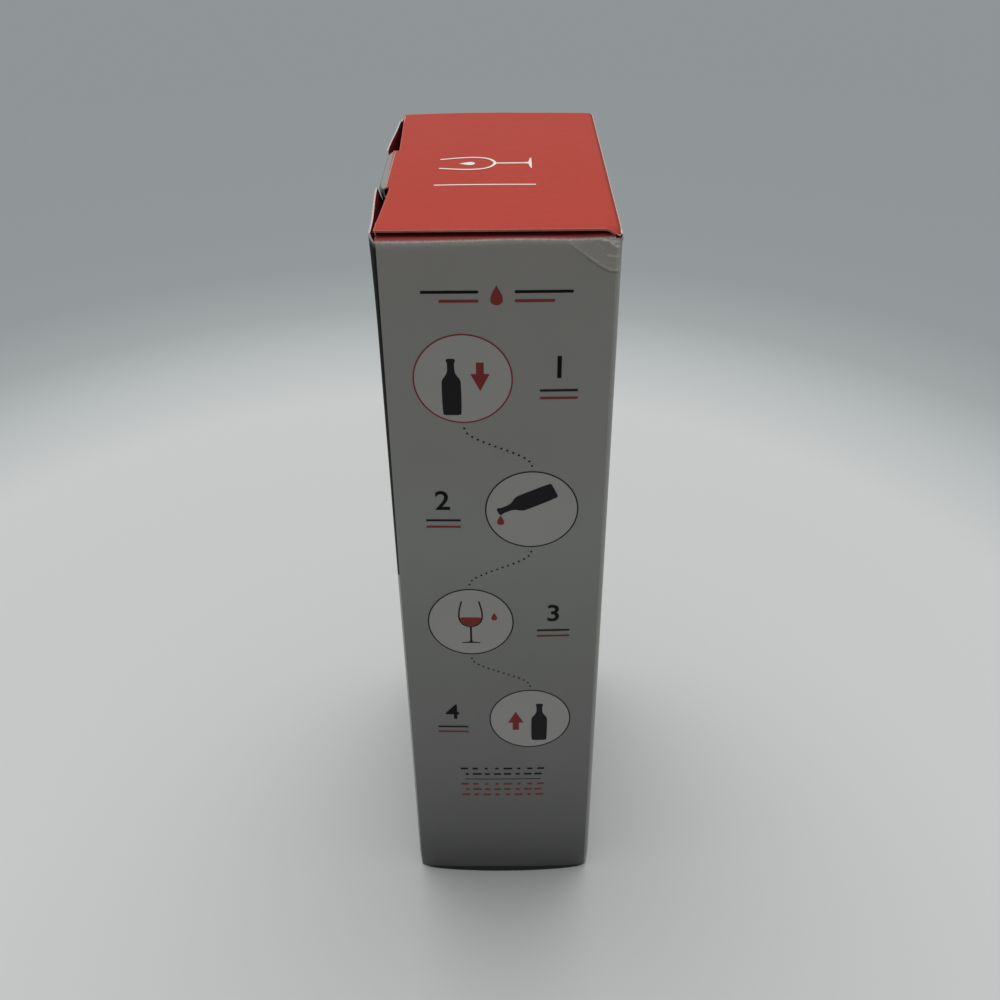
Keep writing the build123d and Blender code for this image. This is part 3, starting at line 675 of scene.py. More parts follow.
def top_of(side, u):
    """A panel's top edge. It rises in the near crease, and dips into the tuck side's notch."""
    if side != "front":
        return EDGE_Z[side] + (CREASE_RISE * bell(u - 8, 20) if side == "near" else 0.0)
    if abs(-u - NOTCH_MIDDLE) >= NOTCH_HALF:
        return TOP - 1.6 * clamp((-u - 60) / 4)
    rise = math.sqrt(NOTCH_RADIUS**2 - (-u - NOTCH_MIDDLE) ** 2)
    return TOP - NOTCH_DEPTH + NOTCH_RADIUS - rise


def corner_point(number, turn, inset, z):
    """A point on the round crease after panel number, seen from above."""
    w, d = HALF_W - FOLD, HALF_D - FOLD
    centre = ((w, -d), (w, d), (-w, d), (-w, -d))[number]
    angle = math.radians(-90 + 90 * number + 90 * turn)
    crushed = crush(w, z)[0] * (1 - turn) ** 1.5 if number == 0 else 0.0
    x = centre[0] + (FOLD - inset) * math.cos(angle) - 0.25 * crushed
    if number > 1:
        x -= CORNER_FLARE * flare_rise(z) * (turn if number == 2 else 1 - turn)
    return (spread(x), centre[1] + (FOLD - inset) * math.sin(angle) - crushed, z)


print("wrap columns", len(wall_columns()))

# %% [markdown]
# Each column is now filled from foot to top, and its wear is worked out on the way. Pale fibre
# shows along the cut top edge, on the creases and at the bruised lower corners. It could be
# painted by hand, but then it would have to be painted again whenever a size changes.

# %% Build the wrap
MIDDLE_TOP = 302.0
EDGE_WEAR = (0.3, 0.3, 0.3, 0.03)
FOOT_WEAR = 0.15
RIM_WEAR = ((1.0, 0.4), (0.35, 1.4))


def wrap_wear(z, high, to_corner):
    """Cracked film at the bruised foot corners and along the top edge."""
    foot = FOOT_WEAR * bell(to_corner, 3) * math.exp(-z / 2.5)
    return max(foot, *[white * bell(high - z, width) for white, width in RIM_WEAR])


def build_wrap():
    turns = [math.radians(a) for a in (0, 18, 36, 54, 72)]
    middle = ladder((0.0, 1.0, 0.028))
    upper = ladder((0.0, 1.0, 0.02))[1:]
    columns = wall_columns()
    points, wear = [], []
    for kind, key, value in columns:
        if kind == "arc":
            side, after = CORNERS[key], CORNERS[(key + 1) % 4]
            ends = top_of(side, HALF[side] - FOLD), top_of(after, FOLD - HALF[after])
            high, to_corner = between(*ends, value), 0.0
            folded = EDGE_WEAR[key] * math.sin(math.pi * value)
        else:
            high, to_corner = top_of(key, value), HALF[key] - FOLD - abs(value)
            folded = 0.0
        bruise = bell(to_corner, BRUISE_REACH)
        radius = FOOT_ROUND + CORNER_BRUISE * bruise
        levels = [(radius * (1 - math.sin(a)), radius * (1 - math.cos(a))) for a in turns]
        levels += [(0.0, between(radius, MIDDLE_TOP, t)) for t in middle]
        levels += [(0.0, between(MIDDLE_TOP, high, t)) for t in upper]
        for inset, z in levels:
            if kind == "arc":
                x, y, z = corner_point(key, value, min(inset, FOLD * 0.8), z)
            else:
                x, y, z = on_wall(key, value, z, -inset)
            pinch = FOOT_PINCH * bell(z, PINCH_RISE) * bruise
            points.append((x - math.copysign(pinch, x), y, z))
            worn = max(folded, wrap_wear(z, high, to_corner))
            # below 0 the crushed corner's value is painted shade, which darkens the wall here
            if key == "near":
                crushed = crush(value, z)[1]
                worn = max(worn, crushed) if crushed > 0 else worn + crushed
            wear.append(min(worn, 1.0))
    faces = grid_faces(len(columns), len(levels), closed=True)
    wrap = add_piece("carton_wrap", points, faces, [WALL_PRINT, CUT_EDGE, RED_INSIDE], wear)
    return thicken(wrap)


wrap = build_wrap()
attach(wrap, "carton")
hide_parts("front_panel", "back_panel", "side_panel_near", "side_panel_far")
print("wrap faces", len(wrap.data.polygons))

# %% [markdown]
# The lid is the red top panel, hinged on the back wall by a crease. Its free edge is cut back in
# two slits, whose purpose is to let the dust flaps catch the tuck. It is built as a grid too,
# from the hinge to the free edge. It is bowed up a little, because nothing holds its middle.

# %% Shape of the lid
SLITS = ((-60.4, NOTCH_ENDS[0]), (NOTCH_ENDS[1], 59.0))
SLIT_DEPTH = (0.2, 1.5)
NOTCH_PUSH = 0.8
LID_EDGE = span("lid_panel", 0)[0] - 0.7
LID_HALF = span("lid_panel", 1)[1] - 0.2
LID_BOW = 0.5
LID_LIFT = 0.9
LIFT_END = 39.0
LIFT_RAMP = 3.6
LIFT_REACH = 14.0
FAR_LIFT = 0.6
LID_DROOP = 1.5
DROOP_REACH = 3.2
LID_RIPPLE = 0.10
HINGE_X = HALF_W - BOARD / 2
SCORE_X = HINGE_X - 0.5
SCORE_WIDTH = 0.4
SCORE_DEPTH = 0.15
# how dark the shade painted into the score beside the hinge is
SCORE_SHADE = 0.7


def slit_depth(y):
    """How far the lid's free edge is set back here: a slit gapes more towards the thumb notch."""
    for low, high in SLITS:
        if low <= y <= high:
            share = (y - low if low < 0 else high - y) / (high - low)
            return between(*SLIT_DEPTH, share)
    low, high = NOTCH_ENDS
    return -NOTCH_PUSH * (y - low) / (high - low) if low < y < high else 0.0


def lid_height(x, y):
    """The lid's top: bowed, lifted at its ends, and pressed down at the crushed corner."""
    across = 1 - (x / HALF_W) ** 2
    along = 1 - (y / LID_HALF) ** 2
    near_end = math.exp(-(y + LID_HALF) / LIFT_REACH) * clamp((LIFT_END - x) / LIFT_RAMP)
    far_end = math.exp((y - LID_HALF) / LIFT_REACH) * max(across, 0.0)
    ripple = LID_RIPPLE * math.sin(y / 17 + 0.8) * math.sin(x / 13) * across
    raised = LID_BOW * max(across * along, 0.0) + LID_LIFT * near_end + FAR_LIFT * far_end
    corner = LID_DROOP * bell(math.hypot(HALF_W - x, LID_HALF + y), DROOP_REACH)
    return TOP + raised + ripple - corner - SCORE_DEPTH * bell(SCORE_X - x, SCORE_WIDTH)


def lid_wear(x, y, low_x):
    """Cracked film along the cut edges, and painted shade in the score beside the hinge."""
    cut = max(0.22 * bell(LID_HALF - abs(y), 0.4), 0.15 * bell(x - low_x, 0.3))
    return cut - SCORE_SHADE * bell(SCORE_X - x, SCORE_WIDTH)


print("slits gape", *SLIT_DEPTH, "mm, middle of the lid", round(lid_height(0, 0) - TOP, 2), "mm up")

# %% [markdown]
# At the hinge the sheet turns down in a small round bead, with the film worn pale along it. The
# columns crowd together at both ends of each slit, so that a slit ends sharply, and the rows
# crowd at the free edge and beside the hinge, where the score is. The score's shade is painted
# into its colour. A finer grid all over would do the same with many more faces.

# %% Build the lid
LID_CORNER = 2.2
HINGE_ROUND = 0.55
HINGE_WEAR = 0.9


def build_lid():
    ends = [-LID_HALF, *[y for slit in SLITS for y in slit], LID_HALF]
    columns = []
    for start, end in zip(ends, ends[1:]):
        columns += ladder((start + 0.02, start + 1.2, 0.4), (start + 1.2, end - 1.2, 1.8))
        columns += ladder((end - 0.8, end - 0.02, 0.4))
    turns = [math.radians(a) for a in (68, 45, 22, 0)]
    inner = ladder((0.0, 0.03, 0.006), (0.03, 0.9, 0.035), (0.9, 1.0, 0.005))
    points, wear = [], []
    for y in columns:
        low_x = LID_EDGE + slit_depth(y)
        past = max(0.0, LID_CORNER - (LID_HALF - abs(y)))
        high_x = HINGE_X - HINGE_ROUND + BOARD / 2 - corner_trim(LID_CORNER, past)
        for t in inner:
            x = between(low_x, high_x, t)
            points.append((spread(x), y, lid_height(x, y)))
            wear.append(lid_wear(x, y, low_x))
        edge_z = lid_height(high_x, y)
        for angle in turns:
            x = high_x + HINGE_ROUND * math.cos(angle)
            points.append((spread(x), y, edge_z - HINGE_ROUND * (1 - math.sin(angle))))
            wear.append(HINGE_WEAR)
    faces = [f[::-1] for f in grid_faces(len(columns), len(inner) + len(turns))]
    lid = add_piece("lid_sheet", points, faces, [RED_PRINT, STAINED_EDGE, RED_INSIDE], wear)
    return thicken(lid)


lid = build_lid()
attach(lid, "lid")
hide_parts("lid_panel")
print("lid faces", len(lid.data.polygons))

# %% [markdown]
# The tuck flap hangs from the lid's free edge and slides in behind the wall. Two slits cut its
# shoulders free of the lid, so that the dust flaps can catch in them and lock the lid. Between
# the slits its fold swells out through the thumb notch, where fingers have pushed it. It is a
# grid like the lid, bent by one rule for its slant, its round corners and the swell.

# %% Shape of the tuck
TUCK_CREASE = (-38.7, TOP - BOARD / 2)
TUCK_SLANT = math.radians(12.0)
TUCK_LENGTH = 22.0
TUCK_ROOT = 67.0
TUCK_TIP = 61.0
TUCK_BEAD = 0.42
TUCK_CORNER = 6.0
CORNER_START = 0.72
SWELL = 3.25
SWELL_DROP = 3.0
SWELL_EDGE = 12
SWELL_CURVE = 0.3


def swell(y, drop):
    """How far the fold is pushed out of the thumb notch."""
    along = math.exp(-(((y - NOTCH_MIDDLE) / NOTCH_HALF) ** SWELL_EDGE))
    share = drop / SWELL_DROP
    return SWELL * along * (share * math.exp(1 - share)) ** SWELL_CURVE


def tuck_point(y, drop):
    """A point on the tuck, this far along its crease and down its length."""
    t = drop / TUCK_LENGTH
    past = TUCK_CORNER * max(0.0, t - CORNER_START) / (1 - CORNER_START)
    half = between(TUCK_ROOT, TUCK_TIP, t) - corner_trim(TUCK_CORNER, past)
    share = y / TUCK_ROOT
    bead = TUCK_BEAD * min(1.0, math.sqrt(drop / 0.5))
    curl = 0.5 * t * (1 - share**2)
    x = TUCK_CREASE[0] - bead + drop * math.sin(TUCK_SLANT) + curl - swell(y, drop)
    z = TUCK_CREASE[1] + TUCK_BEAD * (1 - min(drop, 1.0)) - drop * math.cos(TUCK_SLANT)
    return (x, share * half, z)


print("the fold swells out", round(max(swell(NOTCH_MIDDLE, d / 4) for d in range(20)), 2), "mm")

# %% [markdown]
# The tuck is five grids side by side, three that reach the fold and two shoulders that start
# lower. Points that lie on each other are then merged, which makes it one sheet with two notches
# in its fold. A boolean could cut the notches too, but it leaves slivers along a bent edge.

# %% Build the tuck
SHOULDER_DROP = 2.9
SLIT_INSET = 0.01


def build_tuck():
    ends = [-TUCK_ROOT, *[y for slit in SLITS for y in slit], TUCK_ROOT]
    drops = ladder((0.0, SHOULDER_DROP, 0.35), (SHOULDER_DROP, TUCK_LENGTH, 0.9))
    free = sum(drop < SHOULDER_DROP for drop in drops)
    rows = len(drops)
    points, wear, faces = [], [], []
    for number, (start, end) in enumerate(zip(ends, ends[1:])):
        columns = ladder((start + SLIT_INSET, end - SLIT_INSET, 1.5))
        first = len(points)
        for y in columns:
            points += [tuck_point(y, drop) for drop in drops]
            wear += [0.25 * bell(drop, 0.6) for drop in drops]
        cut = free if number in (1, 3) else 0
        panel = grid_faces(len(columns), rows)
        faces += [tuple(first + i for i in f) for f in panel if min(i % rows for i in f) >= cut]
    flap = add_piece("tuck_sheet", points, faces, [GREY_PRINT, CUT_EDGE, RED_INSIDE], wear)
    sheet = bmesh.new()
    sheet.from_mesh(flap.data)
    bmesh.ops.remove_doubles(sheet, verts=sheet.verts, dist=0.05 * MM)
    loose = [v for v in sheet.verts if not v.link_faces]
    bmesh.ops.delete(sheet, geom=loose, context="VERTS")
    sheet.to_mesh(flap.data)
    sheet.free()
    return thicken(flap, BOARD * 0.9)


tuck = build_tuck()
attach(tuck, "tuck")
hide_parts("tuck_flap")
print("tuck faces", len(tuck.data.polygons))

# %% [markdown]
# The dust flaps fold in from the narrow sides, under the lid. They are printed red right up to
# the crease, so a red line shows in the gap below the lid. Each is a grid that starts on the top
# edge of the wall that it grows from, so its crease follows that wall, also where it is crushed.

# %% Dust flaps
DUST_ROOT_X = (-38.7, 38.4)
DUST_TIP_X = (-31.5, 10.4)
DUST_LENGTH = 50.0
DUST_CORNER = 8.0
DUST_FOLD = 1.3
DUST_RISE = 0.45
DUST_SAG = 0.25


def build_dust_flap(name, way):
    """way is -1 for the flap at the near side and +1 for the one at the far side."""
    side = "near" if way < 0 else "far"
    columns = ladder((0.0, 1.0, 0.025))
    turns = [math.radians(a) for a in (0, 18, 36, 54, 72, 90)]
    runs = ladder((0.0, 1.0, 0.025))[1:]
    points, wear = [], []
    for share in columns:
        root_x = between(*DUST_ROOT_X, share)
        root_z = top_of(side, -way * root_x)
        root_y = on_wall(side, -way * root_x, root_z)[1]
        for angle in turns:
            y = root_y - way * DUST_FOLD * (1 - math.cos(angle))
            points.append((root_x, y, between(root_z, DUST_TOP + DUST_RISE, math.sin(angle))))
            wear.append(bell(angle, 0.3))
        for t in runs:
            reach = between(DUST_FOLD, DUST_LENGTH, t)
            left, right = (between(root, tip, t) for root, tip in zip(DUST_ROOT_X, DUST_TIP_X))
            past = max(0.0, DUST_LENGTH * t - DUST_LENGTH + DUST_CORNER)
            trim = corner_trim(DUST_CORNER, past)
            sag = DUST_SAG * math.sin(math.pi * share) * t - DUST_RISE * math.exp(-reach / 5)
            x = between(left + trim, right - trim, share)
            points.append((x, way * (HALF_D - reach), DUST_TOP - sag))
            wear.append(0.0)
    faces = grid_faces(len(columns), len(turns) + len(runs))
    if way > 0:
        faces = [f[::-1] for f in faces]
    flap = add_piece(name, points, faces, [DUST_PRINT, CUT_EDGE, RED_INSIDE], wear)
    return thicken(flap)


for side, way in (("near", -1), ("far", 1)):
    flap = build_dust_flap(f"dust_sheet_{side}", way)
    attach(flap, f"dust_{side}")
    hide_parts(f"dust_flap_{side}")
    print("dust flap", side, "faces", len(flap.data.polygons))

# %% [markdown]
# The carton's print is thin shapes of ink laid on the board, each a hair above the last, so that
# every edge stays sharp and follows the wall's belly and creases. A pattern in the material would
# be simpler, but it blurs when it is baked. Every shape is drawn flat, in millimetres on the
# unfolded panel, and is then carried to the wall point by point.

# %% Ink
INK_LIFT = 0.05
INK_SHEEN = 0.12
INK_TONES = {
    "black": "#050506",
    "charcoal": "#1e1d20",
    "red": "#7d302d",
    "opaque_white": "#9d9c99",
    "mist_grey": "#8d8f8e",
    "ash_grey": "#343736",
    "bright_white": "#ece7e2",
}
INKS = {ink: printed_board(f"offset_ink_{ink}", tone, INK_SHEEN) for ink, tone in INK_TONES.items()}
INK_NAMES = list(INKS)
print("inks", *INK_NAMES)

# %% [markdown]
# Four small tools draw flat shapes. They turn and size a list of points, round its corners, fill
# an outline with small triangles, and give a path an even width. A curve object could do all
# this too, but plain points are easier to carry to a bent wall.

# %% Flat shapes
def turned(points, at=(0.0, 0.0), scale=1.0, degrees=0.0):
    """Points moved, sized and turned on the flat panel."""
    c, s = math.cos(math.radians(degrees)), math.sin(math.radians(degrees))
    return [(at[0] + scale * (x * c - y * s), at[1] + scale * (x * s + y * c)) for x, y in points]


def soften(points, times=2, closed=True):
    """Round an outline by cutting its corners off again and again."""
    for _ in range(times):
        cut = [] if closed else [points[0]]
        for (ax, ay), (bx, by) in zip(points, points[1:] + points[:1] if closed else points[1:]):
            cut += [(between(ax, bx, t), between(ay, by, t)) for t in (0.25, 0.75)]
        points = cut if closed else cut + [points[-1]]
    return points


def ring_points(radius, count=72):
    turns = [math.tau * i / count for i in range(count)]
    return [(radius * math.cos(t), radius * math.sin(t)) for t in turns]


def filled(outline, step=2.0):
    """Small triangles that fill an outline, so that the shape can bend with the wall."""
    us, zs = zip(*outline)
    across = ladder((min(us), max(us), step))
    inner = [(u, z) for u in across for z in ladder((min(zs), max(zs), step))]
    spots = [Vector(p) for p in [*outline, *inner]]
    loop = list(range(len(outline)))
    points, _, faces, *_ = delaunay_2d_cdt(spots, [], [loop], 1, 1e-4)
    return [tuple(p) for p in points], [tuple(f) for f in faces]


def stroked(path, width, closed=False):
    """A line of even width along a path."""
    spots = [Vector(p) for p in path]
    count = len(spots)
    points = []
    for i, spot in enumerate(spots):
        before = spots[i - 1] if closed or i else spot
        after = spots[(i + 1) % count] if closed or i < count - 1 else spot
        way = (after - before).normalized()
        side = Vector((-way.y, way.x)) * width / 2
        points += [tuple(spot - side), tuple(spot + side)]
    runs = [(2 * i, 2 * ((i + 1) % count)) for i in range(count if closed else count - 1)]
    return points, [(a, b, b + 1, a + 1) for a, b in runs]


print("faces in a filled ring", len(filled(ring_points(10.0))[1]))

# %% [markdown]
# The pictures are plain signs that any wine accessory might carry: a bottle, a glass, a drop and
# an arrow. Each is one outline in a box one unit high, so it can be used at any size.

# %% Signs
BOTTLE_SIDE = (
    (0.0, 0.0), (0.125, 0.0), (0.15, 0.03), (0.155, 0.56), (0.14, 0.64), (0.08, 0.72),
    (0.055, 0.79), (0.055, 0.94), (0.07, 0.945), (0.07, 0.985), (0.05, 1.0), (0.0, 1.0),
)
BOWL_SIDE = (
    (0.0, 0.40), (0.05, 0.405), (0.14, 0.45), (0.20, 0.54), (0.215, 0.65), (0.205, 0.78),
    (0.18, 0.90), (0.155, 1.0),
)
FOOT_SIDE = ((0.0, 0.0), (0.17, 0.0), (0.17, 0.015), (0.03, 0.035), (0.018, 0.08), (0.018, 0.40))
WINE_SIDE = ((0.0, 0.42), (0.05, 0.425), (0.13, 0.465), (0.185, 0.55), (0.195, 0.62), (0.0, 0.62))
ARROW = ((-0.12, 0.5), (-0.12, 0.1), (-0.3, 0.1), (0.0, -0.5), (0.3, 0.1), (0.12, 0.1), (0.12, 0.5))


def both_sides(half):
    """A whole outline from its right half, with its middle at the origin."""
    right = [(x, y - 0.5) for x, y in half]
    left = [(-x, y) for x, y in reversed(right) if x > 0]
    return right + left


def drop_outline(count=28):
    turns = [math.tau * i / count for i in range(count)]
    return [(0.42 * math.sin(t) * math.sin(t / 2) ** 1.5, 0.5 * math.cos(t)) for t in turns]


BOTTLE = soften(both_sides(BOTTLE_SIDE), 1)
GLASS_FOOT = both_sides(FOOT_SIDE)
WINE = soften(both_sides(WINE_SIDE), 1)
BOWL = soften([(x, y - 0.5) for x, y in BOWL_SIDE], 2, closed=False)
GLASS_BOWL = [(-x, y) for x, y in reversed(BOWL)] + BOWL[1:]
DROP = drop_outline()
print("points in the bottle", len(BOTTLE), "and the bowl", len(GLASS_BOWL))

# %% [markdown]
# Ink lies on the board in layers. A panel collects its flat shapes, carries each point to
# the wall, and becomes one mesh at the end. Each shape could be an object that a modifier
# wraps on the wall, but a wall with a crushed corner folds such a shape over itself.

# %% Lay ink on a panel
RULE_STEP = 4.0
RIM_WEIGHT = 0.5


class Panel:
    """Ink shapes for one panel, kept until the panel is finished as one mesh."""

    def __init__(self, name, surface):
        self.name = name
        self.surface = surface
        self.points = []
        self.faces = []
        self.inks = []

    def lay(self, shape, ink, layer=1):
        """Carry a flat shape to the panel, one ink layer above the board or the last ink."""
        points, faces = shape
        used = {}
        for face in faces:
            corners = [points[i] for i in face]
            edges = zip(corners, corners[1:] + corners[:1])
            area = sum(a[0] * b[1] - b[0] * a[1] for a, b in edges)
            for i in face:
                if i not in used:
                    used[i] = len(self.points)
                    self.points.append(self.surface(*points[i], INK_LIFT * layer))
            index = [used[i] for i in face]
            self.faces.append(index if area > 0 else index[::-1])
            self.inks.append(INK_NAMES.index(ink))

    def sign(self, outline, ink, at, height, degrees=0.0, layer=2):
        self.lay(filled(turned(outline, at, height, degrees)), ink, layer)

    def line(self, path, ink, at, height, width, degrees=0.0, layer=2, closed=False):
        self.lay(stroked(turned(path, at, height, degrees), width, closed), ink, layer)

    def rule(self, left, right, height, weight, ink, layer=2):
        path = [(u, height) for u in ladder((left, right, RULE_STEP))]
        self.lay(stroked(path, weight), ink, layer)

    def glass(self, ink, at, height, width, degrees=0.0, wine=True):
        self.sign(GLASS_FOOT, ink, at, height, degrees)
        if wine:
            self.sign(WINE, "red", at, height, degrees)
        self.line(GLASS_BOWL, ink, at, height, width, degrees, 3)

    def field(self, at, radius, rim_ink):
        """A round, pale field with a thin rim."""
        self.lay(filled(turned(ring_points(radius), at), 2.5), "opaque_white")
        self.line(ring_points(radius), rim_ink, at, 1.0, RIM_WEIGHT, closed=True)

    def lay_object(self, holder, ink, at=(0.0, 0.0), scale=1.0):
        """Lay the finished mesh of a flat object, and remove the object."""
        graph = bpy.context.evaluated_depsgraph_get()
        flat = bpy.data.meshes.new_from_object(holder.evaluated_get(graph))
        points = turned([(v.co.x, v.co.y) for v in flat.vertices], at, scale)
        self.lay((points, [tuple(f.vertices) for f in flat.polygons]), ink, 2)
        bpy.data.objects.remove(holder)
        return len(flat.polygons)

    def number(self, text, at, height, ink):
        """A plain numeral, drawn as a text curve and laid like any other shape."""
        curve = bpy.data.curves.new(text, "FONT")
        curve.body = text
        curve.align_x = "CENTER"
        curve.align_y = "CENTER"
        curve.offset = 0.012
        curve.resolution_u = 4
        self.lay_object(new_object(text, curve), ink, at, height * 1.4)

    def finish(self, body, slot):
        piece = add_piece(self.name, self.points, self.faces, list(INKS.values()))
        piece.data.polygons.foreach_set("material_index", self.inks)
        piece.data.shade_smooth()
        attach(piece, body)
        print(self.name, "faces", len(self.faces))


print("ink film", INK_LIFT, "mm, rule steps", RULE_STEP, "mm")

# %% [markdown]
# Fine rows of dashes stand where small print would be, and rows of dots lead from sign to sign.
# Both are one mark repeated along a path, so Geometry Nodes make them: the path is cut into even
# steps, a mark is set on each, its length is varied a little, and the result is made real.

# %% Tree helpers
def new_tree(name, **inputs):
    """A Geometry Nodes tree with inputs of these names and kinds, and what comes in by them."""
    tree = bpy.data.node_groups.new(name, "GeometryNodeTree")
    for label, kind in {**inputs, "Result": "Geometry"}.items():
        way = "OUTPUT" if label == "Result" else "INPUT"
        kind = f"NodeSocket{kind}"
        tree.interface.new_socket(label.replace("_", " "), in_out=way, socket_type=kind)
    return tree, node(tree, "NodeGroupInput").outputs


def close_tree(tree, shape, material):
    """Make the shape real, because the export drops instances, and give it its material."""
    real = node(tree, "GeometryNodeRealizeInstances", (shape,))
    done = node(tree, "GeometryNodeSetMaterial", {"Geometry": real, "Material": material})
    node(tree, "NodeGroupOutput", (done,))
    return tree


def add_tree(piece, tree, **values):
    """Put a tree on a piece, with each input set by its socket's identifier."""
    modifier = piece.modifiers.new(tree.name, "NODES")
    modifier.node_group = tree
    for socket in tree.interface.items_tree:
        key = socket.name.replace(" ", "_")
        if key in values:
            modifier[socket.identifier] = values[key]


print("each tree ends in Realize Instances and Set Material")

# %% Rows of marks
MARK_SEED = 7
RAGGED = (0.0, 0.07, 0.02, 0.12, 0.04)
DASH = (4.4, 4.0, 1.0)


def marks_tree(material):
    """A tree that repeats one mark along every path it is given."""
    sizes = dict.fromkeys(("Spacing", "Mark_Length", "Mark_Height", "Shortest"), "Float")
    tree, given = new_tree("marks_along_path", Path="Geometry", **sizes, Corners="Int")
    cut = {"Curve": given["Path"], "Length": given["Spacing"]}
    steps = node(tree, "GeometryNodeResampleCurve", cut, mode="LENGTH")
    disc = {"Vertices": given["Corners"], "Radius": 0.5}
    mark = node(tree, "GeometryNodeMeshCircle", disc, fill_type="NGON")
    half_turn = node(tree, "Math", (math.pi, given["Corners"]), operation="DIVIDE")
    inset = node(tree, "Math", (half_turn,), operation="COSINE")
    wide = node(tree, "Math", (given["Mark Length"], inset), operation="DIVIDE")
    tall = node(tree, "Math", (given["Mark Height"], inset), operation="DIVIDE")
    turn = {"Geometry": mark, "Rotation": node(tree, "CombineXYZ", (0.0, 0.0, half_turn))}
    squared = node(tree, "GeometryNodeTransform", turn)
    size = {"Geometry": squared, "Scale": node(tree, "CombineXYZ", (wide, tall, 1.0))}
    mark = node(tree, "GeometryNodeTransform", size)
    draw = {"Min": given["Shortest"], "Max": 1.0, "Seed": MARK_SEED}
    share = node(tree, "FunctionNodeRandomValue", draw, data_type="FLOAT")
    scale = node(tree, "CombineXYZ", (share, 1.0, 1.0))
    row = {"Points": steps, "Instance": mark, "Scale": scale}
    return close_tree(tree, node(tree, "GeometryNodeInstanceOnPoints", row), material)


def lay_marks(panel, paths, ink, spacing, size, corners=4, shortest=1.0):
    """Repeat a mark of this size along flat paths, and lay the result on the panel."""
    curve = bpy.data.curves.new("mark_paths", "CURVE")
    for path in paths:
        spline = curve.splines.new("POLY")
        spline.points.add(len(path) - 1)
        for point, (u, z) in zip(spline.points, path):
            point.co = (u, z, 0.0, 1.0)
    holder = new_object("mark_paths", curve)
    sizes = {"Spacing": spacing, "Mark_Length": size[0], "Mark_Height": size[1]}
    add_tree(holder, marks_tree(INKS[ink]), **sizes, Shortest=shortest, Corners=corners)
    return panel.lay_object(holder, ink)


def small_print(panel, ink, centre, width, heights, mark=1.0):
    """Rows of dashes, in place of small print. Row by row they shift a little, like set type."""
    paths = []
    for row, z in enumerate(heights):
        half = width * (0.5 - RAGGED[row % len(RAGGED)] / 2)
        paths.append([(centre - half, z), (centre + half, z)])
    spacing, long, high = (size * mark for size in DASH)
    return lay_marks(panel, paths, ink, spacing, (long, high), shortest=0.3)


print("dash spacing, length and height", *DASH, "mm")

# %% [markdown]
# The narrow side carries four steps. Each is a round, pale field with a thin rim and a sign, and
# its number and two short rules stand beside it. The steps swing from left to right down the
# panel, and a dotted trail leads the eye from one to the next.

# %% Narrow side, near
STEP_RADIUS = 17.0
STEPS = ((-12.0, 266.0), (12.0, 211.0), (-12.0, 156.0), (12.0, 101.0))
RIM_INKS = ("red", "charcoal", "charcoal", "charcoal")
TRAIL_GAP = 2.5
TRAIL_STEPS = 20


def wall_panel(name, side):
    return Panel(name, lambda u, z, lift: on_wall(side, u, z, lift))


def step_signs(panel):
    first, second, third, fourth = STEPS
    panel.sign(BOTTLE, "charcoal", (first[0] - 4, first[1] - 3), 22)
    panel.sign(ARROW, "red", (first[0] + 6, first[1] + 1), 11)
    panel.sign(BOTTLE, "charcoal", (second[0] - 2, second[1] + 4), 23, 115)
    panel.sign(DROP, "red", (second[0] - 11.5, second[1] - 4.5), 4.5)
    panel.glass("charcoal", third, 22, 0.6)
    panel.sign(DROP, "red", (third[0] + 9.5, third[1] + 3), 4)
    panel.sign(BOTTLE, "charcoal", (fourth[0] + 4, fourth[1] - 2), 22)
    panel.sign(ARROW, "red", (fourth[0] - 6, fourth[1] - 1), 11, 180)


def trail(start, end):
    """A soft S from under one field to the top of the next."""
    low, high = start[1] - STEP_RADIUS - TRAIL_GAP, end[1] + STEP_RADIUS + TRAIL_GAP
    shares = [i / TRAIL_STEPS for i in range(TRAIL_STEPS + 1)]
    swing = [0.5 - 0.5 * math.cos(math.pi * t) for t in shares]
    return [(between(start[0], end[0], w), between(low, high, t)) for w, t in zip(swing, shares)]


near = wall_panel("print_near_side", "near")
for at, rim_ink in zip(STEPS, RIM_INKS):
    near.field(at, STEP_RADIUS, rim_ink)
step_signs(near)
for count, (u, z) in enumerate(STEPS, 1):
    aside = -u * 1.75
    near.number(str(count), (aside, z + 4), 8.5, "black")
    for drop, ink in ((4.5, "charcoal"), (7.5, "red")):
        near.rule(aside - 6.5, aside + 6.5, z - drop, 0.9, ink)
near.sign(DROP, "red", (0, 297), 7)
for way in (-1, 1):
    for reach, z, ink in ((25, 298.2, "black"), (19, 295.0, "red")):
        near.rule(*sorted((way * 6, way * reach)), z, 1.0, ink)
trails = [trail(a, b) for a, b in zip(STEPS, STEPS[1:])]
dots = lay_marks(near, trails, "charcoal", 2.2, (0.8, 0.8), corners=10)
dashes = small_print(near, "black", 0, 34, (70, 66.5))
dashes += small_print(near, "red", 0, 34, (60, 56.5, 53))
near.rule(-17, 17, 63.2, 0.35, "charcoal")
near.finish("carton", "grey_board")
print("dots", dots, "dashes", dashes)

# %% [markdown]
# The other panels carry the same signs at other sizes, so that the carton reads as one design.
# This one has a tall glass and bottle on its black field, and three small fields below them, with
# rows of small print. A sign is only a list of points, so a new size costs nothing.

# %% Wide panel at the tuck side
BLANK_LABEL = ((-0.45, -0.35), (0.45, -0.35), (0.45, 0.35), (-0.45, 0.35))
SMALL_FIELD = 9.0

